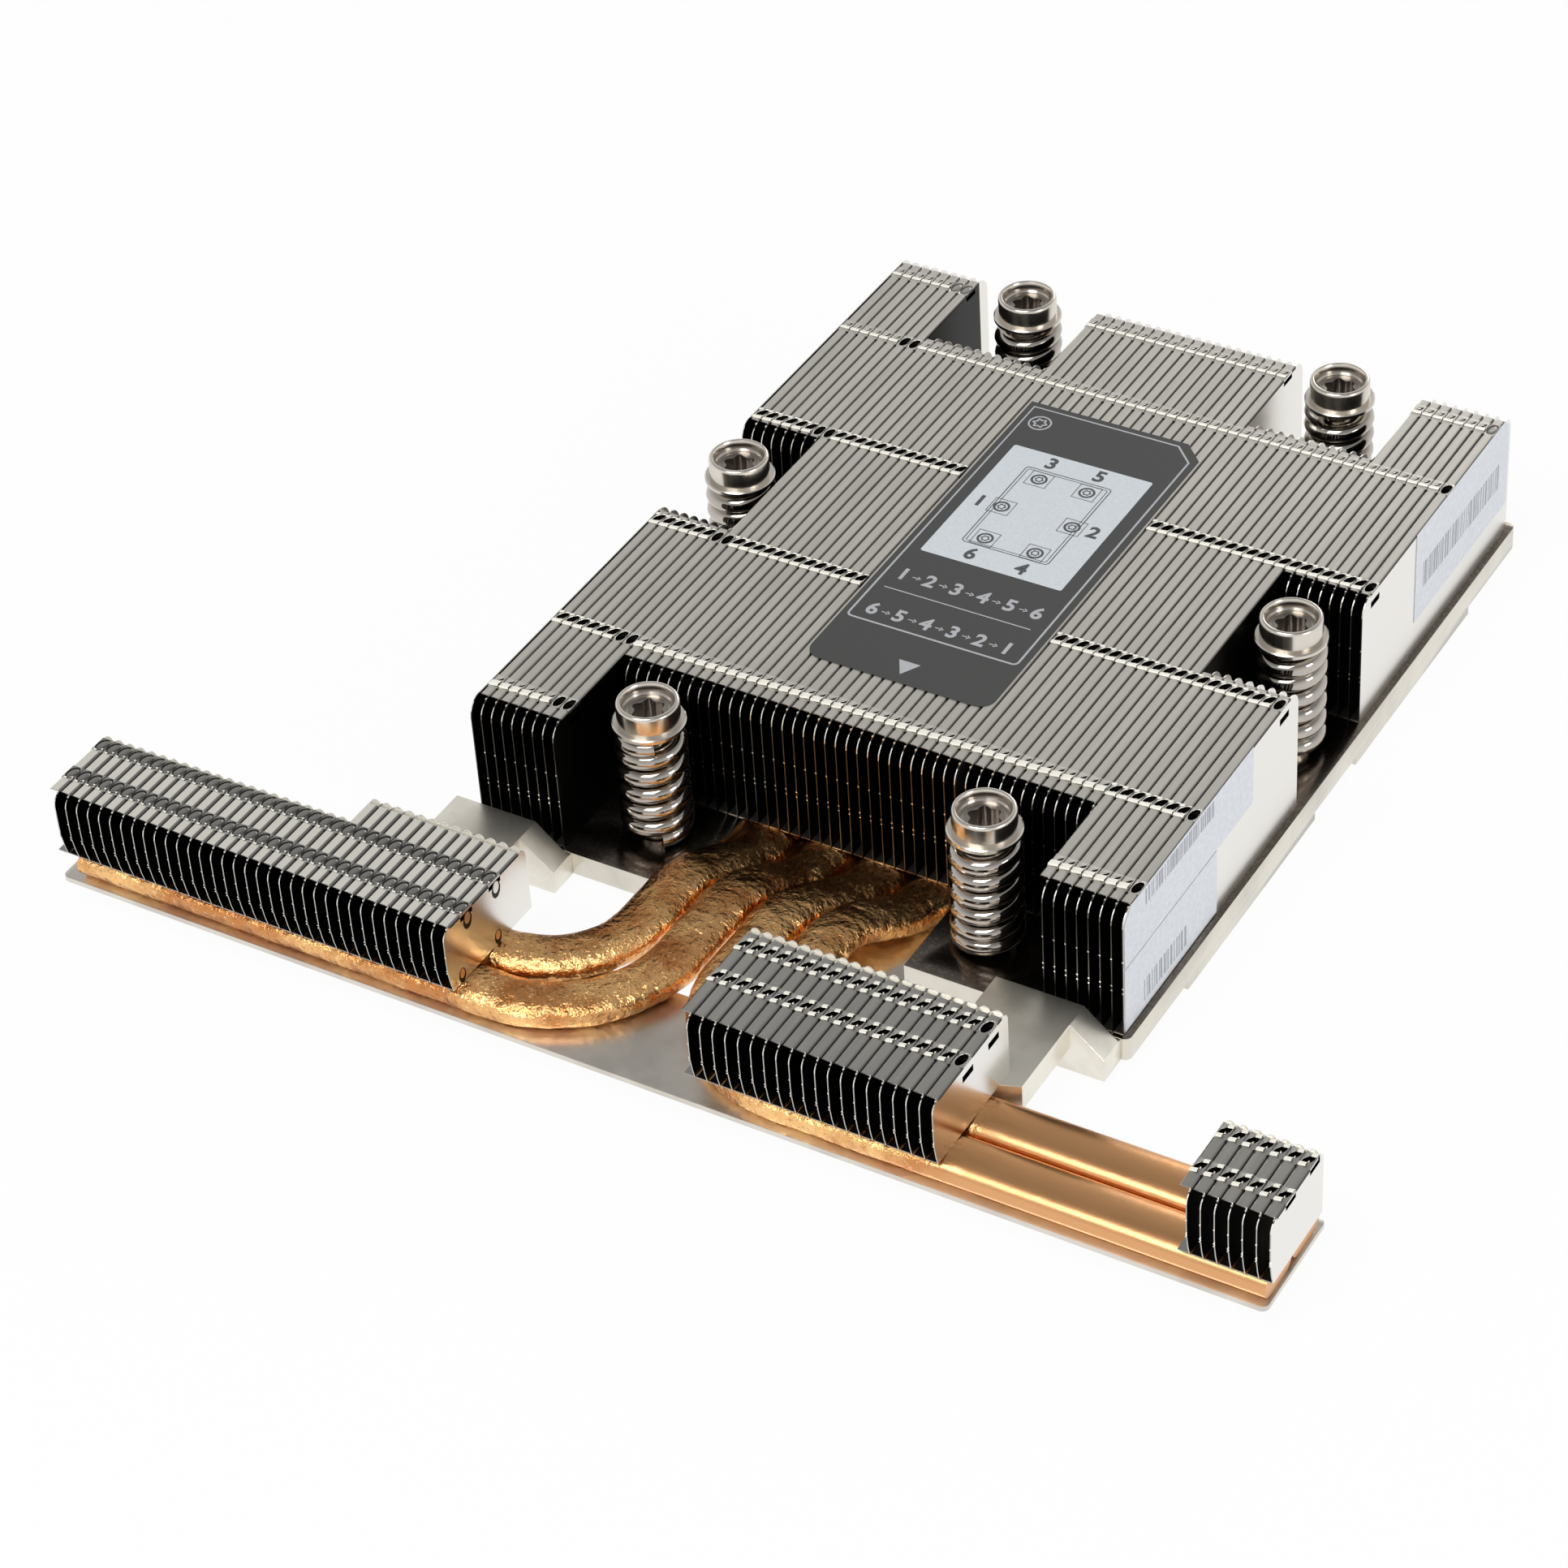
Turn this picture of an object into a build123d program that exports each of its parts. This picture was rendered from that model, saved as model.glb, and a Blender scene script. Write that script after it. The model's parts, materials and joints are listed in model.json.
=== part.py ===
from build123d import *
from math import cos, pi, radians, sin, sqrt
import os

# Passive server CPU heatsink: a nickel-plated base with zipper fins, and a second,
# lower level of fins in front of it, fed by four flattened heat pipes.
# X runs across the fins, +Y to the rear, +Z up. The origin is the centre of the base
# on its contact face. All sizes are in millimetres.

# Heights above the contact face
pedestal_height = 1.5
rail_bottom = 0.3
base_thickness = 3.4
fin_top = 24.0
wing_fin_height = 9.8
wing_sheet = 0.8

# Base plate
base_width = 94.0
base_front = -59.5
base_rear = 57.9
base_corner = 1.0
pedestal_width = 62.0
pedestal_length = 74.0
pedestal_corner = 2.0
rail_width = 2.6
rail_spans = ((-43.3, -6.6), (5.8, 42.1))
pocket_side_gap = 0.6
pocket_floor = 0.7

# Sheet-metal fins of the main level, counted from the left
fin_count = 61
fin_pitch = 1.535
fin_sheet = 0.3
fin_gap = 0.05
main_corner = 2.3
tab_front = -58.8
recess_front = -43.8
fin_rear = 56.5
side_notch = (-10.3, 8.8)
screw_notch_rear = 40.8
fins_beside_notch = 8
last_fin_before_centre = 20
last_fin_of_centre = 40

# Fins of the lower level
wing_pitch = 1.73
wing_corner = 0.9
wing_fin_front = -92.9
wing_fin_rear = -79.2
wing_fin_rear_wide = -74.5
left_wing_start = -87.1
left_wing_narrow = 22
left_wing_wide = 13
middle_wing_start = 6.05
middle_wing_fins = 20
right_wing_start = 71.2
right_wing_fins = 7

# Flattened heat pipes
pipe_width = 7.0
pipe_height = 3.8
pipe_corner = 1.3
pipe_base_pitch = 8.0
pipe_base_end = 44.0
pipe_front_pitch = 7.4
pipe_front_centre = -4.35
pipe_side_gap = 0.1
rise_start = -47.9
rise_end = -58.4
rise_radius = 16.0
rear_bar = -81.4
front_bar = -88.7
rear_bar_bend = 12.9
front_bar_bend = 16.5
left_bar_end = -86.0
right_bar_end = 80.6

# Plate under the lower level, and the two arms that tie it to the base
wing_plate_left = -88.6
wing_plate_right = 81.0
wing_plate_front = -92.6
wing_plate_rear = -76.5
arm_width = 12.0
arm_front = -77.35
arm_side_front = -76.1
arm_chamfer = 3.4
arm_gap = 0.6
arm_lefts = {"left_arm": -48.9, "right_arm": 29.4}
arm_ramp_run = 4.6
arm_ramp_depth = 3.9
arm_foot_width = 2.4

# Captive screws with their springs and retaining clips
corner_spacing_x = 47.8
corner_spacing_y = 102.0
side_spacing = 81.4
screw_centre_x = -0.8
screw_centre_y = 0.6
screw_top = 25.9
head_diameter = 8.2
head_height = 2.95
socket_diameter = 6.6
socket_depth = 1.5
drive_diameter = 4.6
drive_depth = 1.8
collar_diameter = 9.6
collar_height = 0.7
shank_diameter = 5.0
hole_clearance = 0.1
groove_diameter = 3.2
clip_diameter = 8.0
clip_sheet = 0.6
clip_clearance = 0.05
clip_seat_depth = 1.5
clip_seat_diameter = 9.0
thread_diameter = 3.9
thread_end = 0.3
spring_diameter = 9.4
spring_wire = 1.5
spring_open_coils = 4
spring_runs_per_coil = 10
spring_end_gap = 0.05
coil_gap = 0.1

# Label on the fin tops and stickers on the right side
label_film = 0.1
label_left = -13.2
label_right = 13.4
label_front = -31.4
label_rear = 31.1
label_corner = 2.9
sticker_film = 0.1
sticker_places = {
    "side_sticker_front": (-58.5, -33.6, 5.2, 15.0),
    "side_sticker_middle": (-58.5, -23.4, 15.2, 23.9),
    "side_sticker_rear": (25.6, 55.8, 9.7, 23.9),
}

# Levels that follow from the sizes above
base_bottom = pedestal_height
base_top = base_bottom + base_thickness
pipe_low = base_top - pipe_height / 2
wing_floor = base_top + 0.2
pipe_high = wing_floor + pipe_height / 2
wing_fin_bottom = wing_floor + pipe_height
wing_fin_top = wing_fin_bottom + wing_fin_height
collar_top = screw_top - head_height
collar_bottom = collar_top - collar_height
clip_seat = base_bottom + clip_seat_depth
clip_top = clip_seat - clip_clearance
clip_bottom = clip_top - clip_sheet
last_fin = fin_count - 1
pocket_half_width = 1.5 * pipe_base_pitch + pipe_width / 2 + pocket_side_gap
pocket_left_at_rim = pipe_front_centre - 1.5 * pipe_front_pitch - pipe_width / 2 - pipe_side_gap

screw_places = {
    1: (screw_centre_x - side_spacing / 2, screw_centre_y),
    2: (screw_centre_x + side_spacing / 2, screw_centre_y),
    3: (screw_centre_x - corner_spacing_x / 2, screw_centre_y + corner_spacing_y / 2),
    4: (screw_centre_x + corner_spacing_x / 2, screw_centre_y - corner_spacing_y / 2),
    5: (screw_centre_x + corner_spacing_x / 2, screw_centre_y + corner_spacing_y / 2),
    6: (screw_centre_x - corner_spacing_x / 2, screw_centre_y - corner_spacing_y / 2),
}

os.makedirs("parts", exist_ok=True)


def finish(builder, name):
    builder.part.label = name
    export_step(builder.part, f"parts/{name}.step")


def main_web(index):
    # X of the outer face of a main fin's web, the middle fin on the centre line
    return (index - last_fin / 2) * fin_pitch


# Base plate: rim, contact pedestal, side rails, screw holes and pipe grooves
with BuildPart() as base_plate:
    with BuildSketch(Plane.XY.offset(base_bottom)):
        with Locations((0, (base_front + base_rear) / 2)):
            RectangleRounded(base_width, base_rear - base_front, base_corner)
    extrude(amount=base_thickness)
    with BuildSketch(Plane.XY):
        RectangleRounded(pedestal_width, pedestal_length, pedestal_corner)
    extrude(amount=pedestal_height)
    with BuildSketch(Plane.XY.offset(rail_bottom)):
        for rail_start, rail_end in rail_spans:
            for side in (-1, 1):
                with Locations((side * (base_width - rail_width) / 2, (rail_start + rail_end) / 2)):
                    Rectangle(rail_width, rail_end - rail_start)
    extrude(amount=base_bottom - rail_bottom)
    with BuildSketch(Plane.XY.offset(base_top - pipe_height - pocket_floor)):
        with Locations((0, (base_front + pipe_base_end + pocket_floor) / 2)):
            Rectangle(2 * (pocket_half_width + pocket_floor), pipe_base_end + pocket_floor - base_front)
    extrude(amount=pocket_floor)
    with BuildSketch(Plane.XY.offset(base_top)):
        with BuildLine():
            Polyline(
                (pocket_half_width, base_front),
                (pocket_half_width, pipe_base_end),
                (-pocket_half_width, pipe_base_end),
                (-pocket_half_width, rise_start),
                (pocket_left_at_rim, rise_end),
                (pocket_left_at_rim, base_front),
                close=True,
            )
        make_face()
    extrude(amount=-pipe_height, mode=Mode.SUBTRACT)
    with Locations(*[(x, y, base_top) for x, y in screw_places.values()]):
        Hole(shank_diameter / 2 + hole_clearance)
    with Locations(*[(x, y, base_bottom + clip_seat_depth / 2) for x, y in screw_places.values()]):
        Cylinder(clip_seat_diameter / 2, clip_seat_depth, mode=Mode.SUBTRACT)
finish(base_plate, "base_plate")


def heat_pipe(place, bar_y, bend, bar_end):
    # Flattened copper tube: along the pocket, up over the base edge, then round into a bar
    base_x = (place - 1.5) * pipe_base_pitch
    front_x = pipe_front_centre + (place - 1.5) * pipe_front_pitch
    with BuildPart() as pipe:
        with BuildLine() as route:
            FilletPolyline(
                (base_x, pipe_base_end, pipe_low),
                (base_x, rise_start, pipe_low),
                (front_x, rise_end, pipe_high),
                (front_x, bar_y, pipe_high),
                (bar_end, bar_y, pipe_high),
                radius=[rise_radius, rise_radius, bend],
            )
        with BuildSketch(Plane(origin=route.line @ 0, x_dir=(1, 0, 0), z_dir=route.line % 0)) as section:
            Rectangle(pipe_width, pipe_height)
            chamfer(section.vertices(), pipe_corner)
        sweep(path=route.line)
    return pipe


finish(heat_pipe(0, rear_bar, rear_bar_bend, left_bar_end), "heat_pipe_left_rear")
finish(heat_pipe(1, front_bar, front_bar_bend, left_bar_end), "heat_pipe_left_front")
finish(heat_pipe(2, front_bar, front_bar_bend, right_bar_end), "heat_pipe_right_front")
finish(heat_pipe(3, rear_bar, rear_bar_bend, right_bar_end), "heat_pipe_right_rear")


# Thin plate that the front bars of the heat pipes lie on
with BuildPart() as wing_plate:
    with BuildSketch(Plane.XY.offset(wing_floor)):
        with Locations(((wing_plate_left + wing_plate_right) / 2, (wing_plate_front + wing_plate_rear) / 2)):
            RectangleRounded(wing_plate_right - wing_plate_left, wing_plate_rear - wing_plate_front, base_corner)
    extrude(amount=-wing_sheet)
finish(wing_plate, "wing_plate")


def arm(left):
    # Flat arm level with the pipe tops, with a foot that ramps down to the base edge
    right = left + arm_width
    arm_rear = base_front - arm_gap
    with BuildPart() as bracket:
        with BuildSketch(Plane.XY.offset(wing_floor)):
            with BuildLine():
                Polyline(
                    (left, arm_rear),
                    (left, arm_front),
                    (right - arm_chamfer, arm_front),
                    (right, arm_side_front),
                    (right, arm_rear),
                    close=True,
                )
            make_face()
        extrude(amount=pipe_height)
        with BuildSketch(Plane.XZ.offset(-arm_rear)):
            with BuildLine():
                Polyline(
                    (right, wing_fin_bottom),
                    (right + arm_ramp_run, base_top),
                    (right + arm_ramp_run, base_bottom),
                    (right - arm_foot_width, base_bottom),
                    (right - arm_foot_width, wing_floor),
                    (right, wing_floor),
                    close=True,
                )
            make_face()
        extrude(amount=arm_ramp_depth)
        with BuildSketch(Plane.XZ.offset(-base_front)):
            with Locations((right + (arm_ramp_run - arm_foot_width) / 2, (base_bottom + base_top) / 2)):
                Rectangle(arm_ramp_run + arm_foot_width, base_thickness)
        extrude(amount=arm_gap)
    return bracket


for arm_name, arm_left in arm_lefts.items():
    finish(arm(arm_left), arm_name)


def fin_side(front, rear, bottom, top, corner):
    # Side view of a fin, with its two upper corners cut off
    with BuildSketch() as outline:
        with Locations(((front + rear) / 2, (bottom + top) / 2)):
            Rectangle(rear - front, top - bottom)
        chamfer(outline.vertices().group_by(Axis.Y)[-1], corner)
    return outline.sketch


def fin_stack(webs, pitch, front, rear, bottom, top, corner, first_has_flanges=True):
    # Folded fins side by side: each is a channel whose two flanges reach the fin on its left
    reach = pitch - fin_gap
    flanged = webs if first_has_flanges else webs[1:]
    flange_levels = (bottom + fin_sheet / 2, top - fin_sheet / 2)
    with BuildPart() as stack:
        with BuildSketch(Plane.XZ.offset(-rear)):
            with Locations(*[(web - fin_sheet / 2, (bottom + top) / 2) for web in webs]):
                Rectangle(fin_sheet, top - bottom)
            with Locations(*[(web - reach / 2, level) for web in flanged for level in flange_levels]):
                Rectangle(reach, fin_sheet)
        extrude(amount=rear - front)
        with BuildSketch(Plane.YZ.offset(webs[0] - pitch)):
            add(fin_side(front, rear, bottom, top, corner))
        extrude(amount=webs[-1] - webs[0] + pitch, mode=Mode.INTERSECT)
    return stack


# Main level, one node for each outline of fin
first_centre = last_fin_before_centre + 1
first_right_inner = last_fin_of_centre + 1
first_right_tab = fin_count - fins_beside_notch
main_stacks = {
    "fins_left_front": (0, fins_beside_notch - 1, tab_front, side_notch[0]),
    "fins_left_rear": (0, fins_beside_notch - 1, side_notch[1], fin_rear),
    "fin_left_full": (fins_beside_notch, fins_beside_notch, tab_front, fin_rear),
    "fins_left_inner": (fins_beside_notch + 1, last_fin_before_centre, recess_front, screw_notch_rear),
    "fins_centre": (first_centre, last_fin_of_centre, recess_front, fin_rear),
    "fins_right_inner": (first_right_inner, first_right_tab - 1, recess_front, screw_notch_rear),
    "fins_right_front": (first_right_tab, last_fin, tab_front, side_notch[0]),
    "fins_right_rear": (first_right_tab, last_fin, side_notch[1], fin_rear),
}
for name, (first, last, front, rear) in main_stacks.items():
    webs = [main_web(index) for index in range(first, last + 1)]
    finish(fin_stack(webs, fin_pitch, front, rear, base_top, fin_top, main_corner, first > 0), name)

# Lower level, standing on the heat pipes
left_wing_wide_start = left_wing_start + left_wing_narrow * wing_pitch
wing_stacks = {
    "fins_wing_left": (left_wing_start, left_wing_narrow, wing_fin_rear),
    "fins_wing_left_wide": (left_wing_wide_start, left_wing_wide, wing_fin_rear_wide),
    "fins_wing_middle": (middle_wing_start, middle_wing_fins, wing_fin_rear_wide),
    "fins_wing_right": (right_wing_start, right_wing_fins, wing_fin_rear),
}
for name, (start, count, rear) in wing_stacks.items():
    webs = [start + index * wing_pitch for index in range(count)]
    stack = fin_stack(webs, wing_pitch, wing_fin_front, rear, wing_fin_bottom, wing_fin_top, wing_corner)
    finish(stack, name)


def captive_screw(x, y):
    # Cup head with a six-lobe drive, spring collar, shank, clip groove and thread end
    with BuildPart() as screw:
        with Locations((x, y, collar_top)):
            Cylinder(head_diameter / 2, head_height, align=(Align.CENTER, Align.CENTER, Align.MIN))
        with Locations((x, y, collar_bottom)):
            Cylinder(collar_diameter / 2, collar_height, align=(Align.CENTER, Align.CENTER, Align.MIN))
        with Locations((x, y, clip_seat)):
            Cylinder(shank_diameter / 2, collar_bottom - clip_seat, align=(Align.CENTER, Align.CENTER, Align.MIN))
        with Locations((x, y, clip_bottom - clip_clearance)):
            Cylinder(groove_diameter / 2, clip_seat - clip_bottom + clip_clearance,
                     align=(Align.CENTER, Align.CENTER, Align.MIN))
        with Locations((x, y, thread_end)):
            Cylinder(thread_diameter / 2, clip_bottom - clip_clearance - thread_end,
                     align=(Align.CENTER, Align.CENTER, Align.MIN))
        with BuildSketch(Plane(origin=(x, y, screw_top))):
            Circle(socket_diameter / 2)
        extrude(amount=-socket_depth, mode=Mode.SUBTRACT)
        with BuildSketch(Plane(origin=(x, y, screw_top - socket_depth))):
            RegularPolygon(drive_diameter / 2, 3)
            RegularPolygon(drive_diameter / 2, 3, rotation=60)
        extrude(amount=-drive_depth, mode=Mode.SUBTRACT)
    return screw


def retaining_clip(x, y):
    # Flat ring in the screw's groove, which stops it from leaving the base
    with BuildPart() as clip:
        with BuildSketch(Plane(origin=(x, y, clip_bottom))):
            Circle(clip_diameter / 2)
            Circle(groove_diameter / 2 + clip_clearance, mode=Mode.SUBTRACT)
        extrude(amount=clip_sheet)
    return clip


def screw_spring(x, y):
    # Spring from the base to the screw's collar: a closed turn at each end, open coils between,
    # each coil in short straight runs of square wire as heavy as the round one
    coil_radius = (spring_diameter - spring_wire) / 2
    wire_side = spring_wire * sqrt(pi) / 2
    lowest = base_top + spring_end_gap + spring_wire / 2
    highest = collar_bottom - spring_end_gap - spring_wire / 2
    closed_rise = spring_wire + coil_gap
    open_rise = (highest - lowest - 2 * closed_rise) / spring_open_coils
    rises = [closed_rise] + [open_rise] * spring_open_coils + [closed_rise]
    heights = [lowest]
    for rise in rises:
        for run in range(spring_runs_per_coil):
            heights.append(heights[-1] + rise / spring_runs_per_coil)
    points = []
    for step, height in enumerate(heights):
        turn = radians(step * 360 / spring_runs_per_coil)
        points.append((x + coil_radius * cos(turn), y + coil_radius * sin(turn), height))
    with BuildPart() as spring:
        with BuildLine() as coil:
            Polyline(*points)
        with BuildSketch(Plane(origin=coil.line @ 0, x_dir=(0, 0, 1), z_dir=coil.line % 0)):
            Rectangle(wire_side, wire_side)
        sweep(path=coil.line, transition=Transition.RIGHT)
    return spring


for number, (x, y) in screw_places.items():
    finish(captive_screw(x, y), f"captive_screw_{number}")
    finish(retaining_clip(x, y), f"retaining_clip_{number}")
    finish(screw_spring(x, y), f"spring_{number}")


# Printed film label on top of the fins, one corner cut off
with BuildPart() as top_label:
    with BuildSketch(Plane.XY.offset(fin_top)):
        with BuildLine():
            Polyline(
                (label_left, label_front),
                (label_right, label_front),
                (label_right, label_rear - label_corner),
                (label_right - label_corner, label_rear),
                (label_left, label_rear),
                close=True,
            )
        make_face()
    extrude(amount=label_film)
finish(top_label, "top_label")

# Paper stickers on the outer face of the last fin, no further than its outline
right_side = fin_side(tab_front, fin_rear, base_top, fin_top, main_corner)
for name, (sticker_front, sticker_rear, sticker_bottom, sticker_top) in sticker_places.items():
    with BuildPart() as sticker:
        with BuildSketch(Plane.YZ.offset(main_web(last_fin))):
            with Locations(((sticker_front + sticker_rear) / 2, (sticker_bottom + sticker_top) / 2)):
                Rectangle(sticker_rear - sticker_front, sticker_top - sticker_bottom)
            add(right_side, mode=Mode.INTERSECT)
        extrude(amount=sticker_film)
    finish(sticker, name)
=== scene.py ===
import json
import math
import random

import bmesh
import bpy
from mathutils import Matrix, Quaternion, Vector

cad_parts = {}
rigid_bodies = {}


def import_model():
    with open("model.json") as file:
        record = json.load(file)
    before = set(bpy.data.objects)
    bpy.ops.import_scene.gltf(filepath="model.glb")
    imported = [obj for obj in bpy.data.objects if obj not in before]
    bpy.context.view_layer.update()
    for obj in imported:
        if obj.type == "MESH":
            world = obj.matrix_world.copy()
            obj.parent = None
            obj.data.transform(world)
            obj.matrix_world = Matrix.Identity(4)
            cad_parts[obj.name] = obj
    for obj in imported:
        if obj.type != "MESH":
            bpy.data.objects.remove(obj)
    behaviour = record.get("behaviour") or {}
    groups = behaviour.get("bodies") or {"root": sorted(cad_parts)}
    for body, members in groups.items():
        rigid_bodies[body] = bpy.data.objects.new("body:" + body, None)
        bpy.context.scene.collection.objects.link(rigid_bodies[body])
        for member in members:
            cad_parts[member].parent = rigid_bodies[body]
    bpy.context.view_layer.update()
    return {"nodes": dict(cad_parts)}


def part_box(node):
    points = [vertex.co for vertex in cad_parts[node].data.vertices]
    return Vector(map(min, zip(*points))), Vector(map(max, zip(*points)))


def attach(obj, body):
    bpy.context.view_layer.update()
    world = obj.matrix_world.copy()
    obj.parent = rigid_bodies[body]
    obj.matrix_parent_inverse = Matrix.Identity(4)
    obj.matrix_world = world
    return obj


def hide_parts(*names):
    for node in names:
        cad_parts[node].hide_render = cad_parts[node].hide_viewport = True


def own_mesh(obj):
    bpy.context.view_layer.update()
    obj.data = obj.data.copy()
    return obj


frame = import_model()
mm = 0.001


# Levels and edges of the solids, in millimetres
def span(node):
    low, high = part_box(node)
    return [value / mm for value in low], [value / mm for value in high]


baseLow, baseHigh = span("base_plate")
baseTop = baseHigh[2]
screwTop = span("captive_screw_1")[1][2]
solidWeld = 0.002  # merges the points that the solids' faces share
# Metres along X over which the heat pipes go from hammered to straight, drawn bars
straighten = {"shape": (0.030, 0.040), "finish": (0.034, 0.042)}


# A socket that takes Python's operators, so that shader maths reads as expressions
class Wire:
    def __init__(self, tree, socket):
        self.tree = tree
        self.socket = socket

    def maths(self, operation, first, second=0.0):
        return self.tree.wire("ShaderNodeMath", {"operation": operation}, {0: first, 1: second})

    def __add__(self, other):
        return self.maths("ADD", self, other)

    __radd__ = __add__

    def __mul__(self, other):
        return self.maths("MULTIPLY", self, other)

    __rmul__ = __mul__

    def __sub__(self, other):
        return self.maths("SUBTRACT", self, other)

    def __rsub__(self, other):
        return self.maths("SUBTRACT", other, self)

    def __pow__(self, other):
        return self.maths("POWER", self, other)

    def __gt__(self, other):
        return self.maths("GREATER_THAN", self, other)

    def clamp(self):
        return self.tree.wire("ShaderNodeClamp", {}, {0: self})

    def between(self, low, high):  # 0 at low, 1 at high, smooth on the way
        return self.tree.wire(
            "ShaderNodeMapRange", {"interpolation_type": "SMOOTHSTEP"}, {0: self, 1: low, 2: high})


# A node tree of any kind, with one way to add a node: type, settings, then sockets
class Tree:
    def __init__(self, nodeTree):
        self.nodeTree = nodeTree

    def node(self, kind, settings=None, sockets=None):
        made = self.nodeTree.nodes.new(kind)
        for name, value in (settings or {}).items():
            if name == "stops":
                ramp = made.color_ramp
                while len(ramp.elements) < len(value):
                    ramp.elements.new(0.5)
                for element, (place, color) in zip(ramp.elements, value):
                    element.position = place
                    element.color = (*color, 1.0)
            else:
                setattr(made, name, value)
        for key, value in (sockets or {}).items():
            if isinstance(value, Wire):
                self.nodeTree.links.new(value.socket, made.inputs[key])
            else:
                made.inputs[key].default_value = value
        return made

    def wire(self, kind, settings=None, sockets=None, output=0):
        return Wire(self, self.node(kind, settings, sockets).outputs[output])


# A surface finish: a Principled shader fed by noise, painted face values and Object coordinates
class Finish(Tree):
    def __init__(self, name, metallic=1.0, coat=0.0, coatRoughness=0.1):
        self.material = bpy.data.materials.new(name)
        self.material.use_nodes = True
        super().__init__(self.material.node_tree)
        self.shader = self.nodeTree.nodes["Principled BSDF"]
        self.shader.inputs["Metallic"].default_value = metallic
        self.shader.inputs["Coat Weight"].default_value = coat
        self.shader.inputs["Coat Roughness"].default_value = coatRoughness
        self.place = self.wire("ShaderNodeTexCoord", output="Object")

    def stretched(self, x, y, z):
        return self.wire("ShaderNodeMapping", {}, {"Vector": self.place, "Scale": (x, y, z)})

    def noise(self, scale, detail=3.0, roughness=0.5, place=None):
        sockets = {"Vector": place or self.place, "Scale": scale, "Detail": detail, "Roughness": roughness}
        return self.wire("ShaderNodeTexNoise", {}, sockets)

    def painted(self, name):
        return self.wire("ShaderNodeAttribute", {"attribute_name": name}, output="Fac")

    def mix(self, amount, first, second):
        colors = {0: amount}
        for key, value in ((6, first), (7, second)):
            colors[key] = value if isinstance(value, Wire) else (*value, 1.0)
        return self.wire("ShaderNodeMix", {"data_type": "RGBA"}, colors, output=2)

    def finish(self, color, roughness, height=None, strength=0.2, distance=0.05):
        self.feed("Base Color", color)
        self.feed("Roughness", roughness)
        if height is not None:
            bump = {"Strength": strength, "Distance": distance * mm, "Height": height}
            self.feed("Normal", self.wire("ShaderNodeBump", {}, bump))
        return self.material

    def feed(self, name, value):
        target = self.shader.inputs[name]
        if isinstance(value, Wire):
            self.nodeTree.links.new(value.socket, target)
        elif isinstance(value, tuple):
            target.default_value = (*value, 1.0)
        else:
            target.default_value = value


# Finishes
# Fin colours: lip, facet and plate are painted highlights and a lighter, lit copy of the nickel; the near-black one
# is painted shade
finColors = {
    "flange": (0.62, 0.595, 0.545), "worn": (0.70, 0.67, 0.61), "lip": (0.95, 0.92, 0.84),
    "facet": (0.90, 0.87, 0.78), "soot": (0.012, 0.011, 0.010), "plate": (0.84, 0.82, 0.78),
    "warm": (0.95, 0.55, 0.27),
}
black = (0.0, 0.0, 0.0)


def nickelFins(name, colors, grain, roughness):
    skin = Finish(name)
    fine = skin.noise(9000, 2, 0.6)
    streaks = skin.noise(260, 3, 0.5, skin.stretched(6, 0.35, 1))
    patches = skin.noise(55, 3, 0.55)
    tone = skin.painted("finTone")
    color = skin.mix((streaks * 0.6 + patches * 0.4).between(0.35, 0.7), colors["flange"], colors["worn"])
    shade = fine * 0.3 + tone * 0.12 + 0.78
    color = skin.mix(shade.clamp(), black, color)
    # the lip, plate and facet paints are painted highlights, the dark paint is painted shade; warm is the copper seen
    # through openings
    for paint in ("plate", "lip", "soot", "warm", "facet"):
        color = skin.mix(skin.painted(paint), color, colors[paint])
    skin.feed("Metallic", 1.0 - skin.painted("facet") * 0.85)  # pressed facets are painted as a pale, mostly non-metal highlight
    bright = skin.painted("lip") * 0.14 + skin.painted("plate") * 0.1
    gloss = roughness + fine * 0.12 - bright
    relief = (fine * 0.7 + streaks * 0.3) * (1.0 - skin.painted("plate") * 0.8)
    return skin.finish(color, gloss, relief, grain, 0.03)


def copperPipe():
    skin = Finish("copper")
    dents = skin.noise(420, 3, 0.55)
    crinkles = skin.noise(1250, 4, 0.62)
    paintedReflection = skin.noise(105, 3, 0.55)
    drawn = skin.noise(900, 3, 0.6, skin.stretched(0.2, 1, 1))
    parts = skin.node("ShaderNodeSeparateXYZ", {}, {0: skin.place})
    bent = 1.0 - Wire(skin, parts.outputs["X"]).between(*straighten["finish"])
    # large light and dark patches of the copper: painted reflection
    color = skin.mix(paintedReflection.between(0.38, 0.62), (0.62, 0.255, 0.085), (1.0, 0.59, 0.24))
    # darker in the crinkles' hollows and brighter on their crests: painted shade and painted highlight
    color = skin.mix((1.0 - crinkles.between(0.3, 0.46)) * bent * 0.5, color, (0.36, 0.13, 0.04))
    color = skin.mix(crinkles.between(0.56, 0.74) * bent * 0.8, color, (1.0, 0.74, 0.42))
    color = skin.mix(skin.noise(2600, 2, 0.6).between(0.62, 0.74) * 0.4, color, (0.25, 0.10, 0.04))
    color = skin.mix(1.0 - bent, color, (0.76, 0.40, 0.18))
    height = (dents * 0.72 + crinkles * 0.28) * (bent * 0.95 + 0.05)
    gloss = (1.0 - bent) * 0.14 + drawn * 0.13 + 0.1
    return skin.finish(color, gloss, height, 0.95, 0.95)


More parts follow.
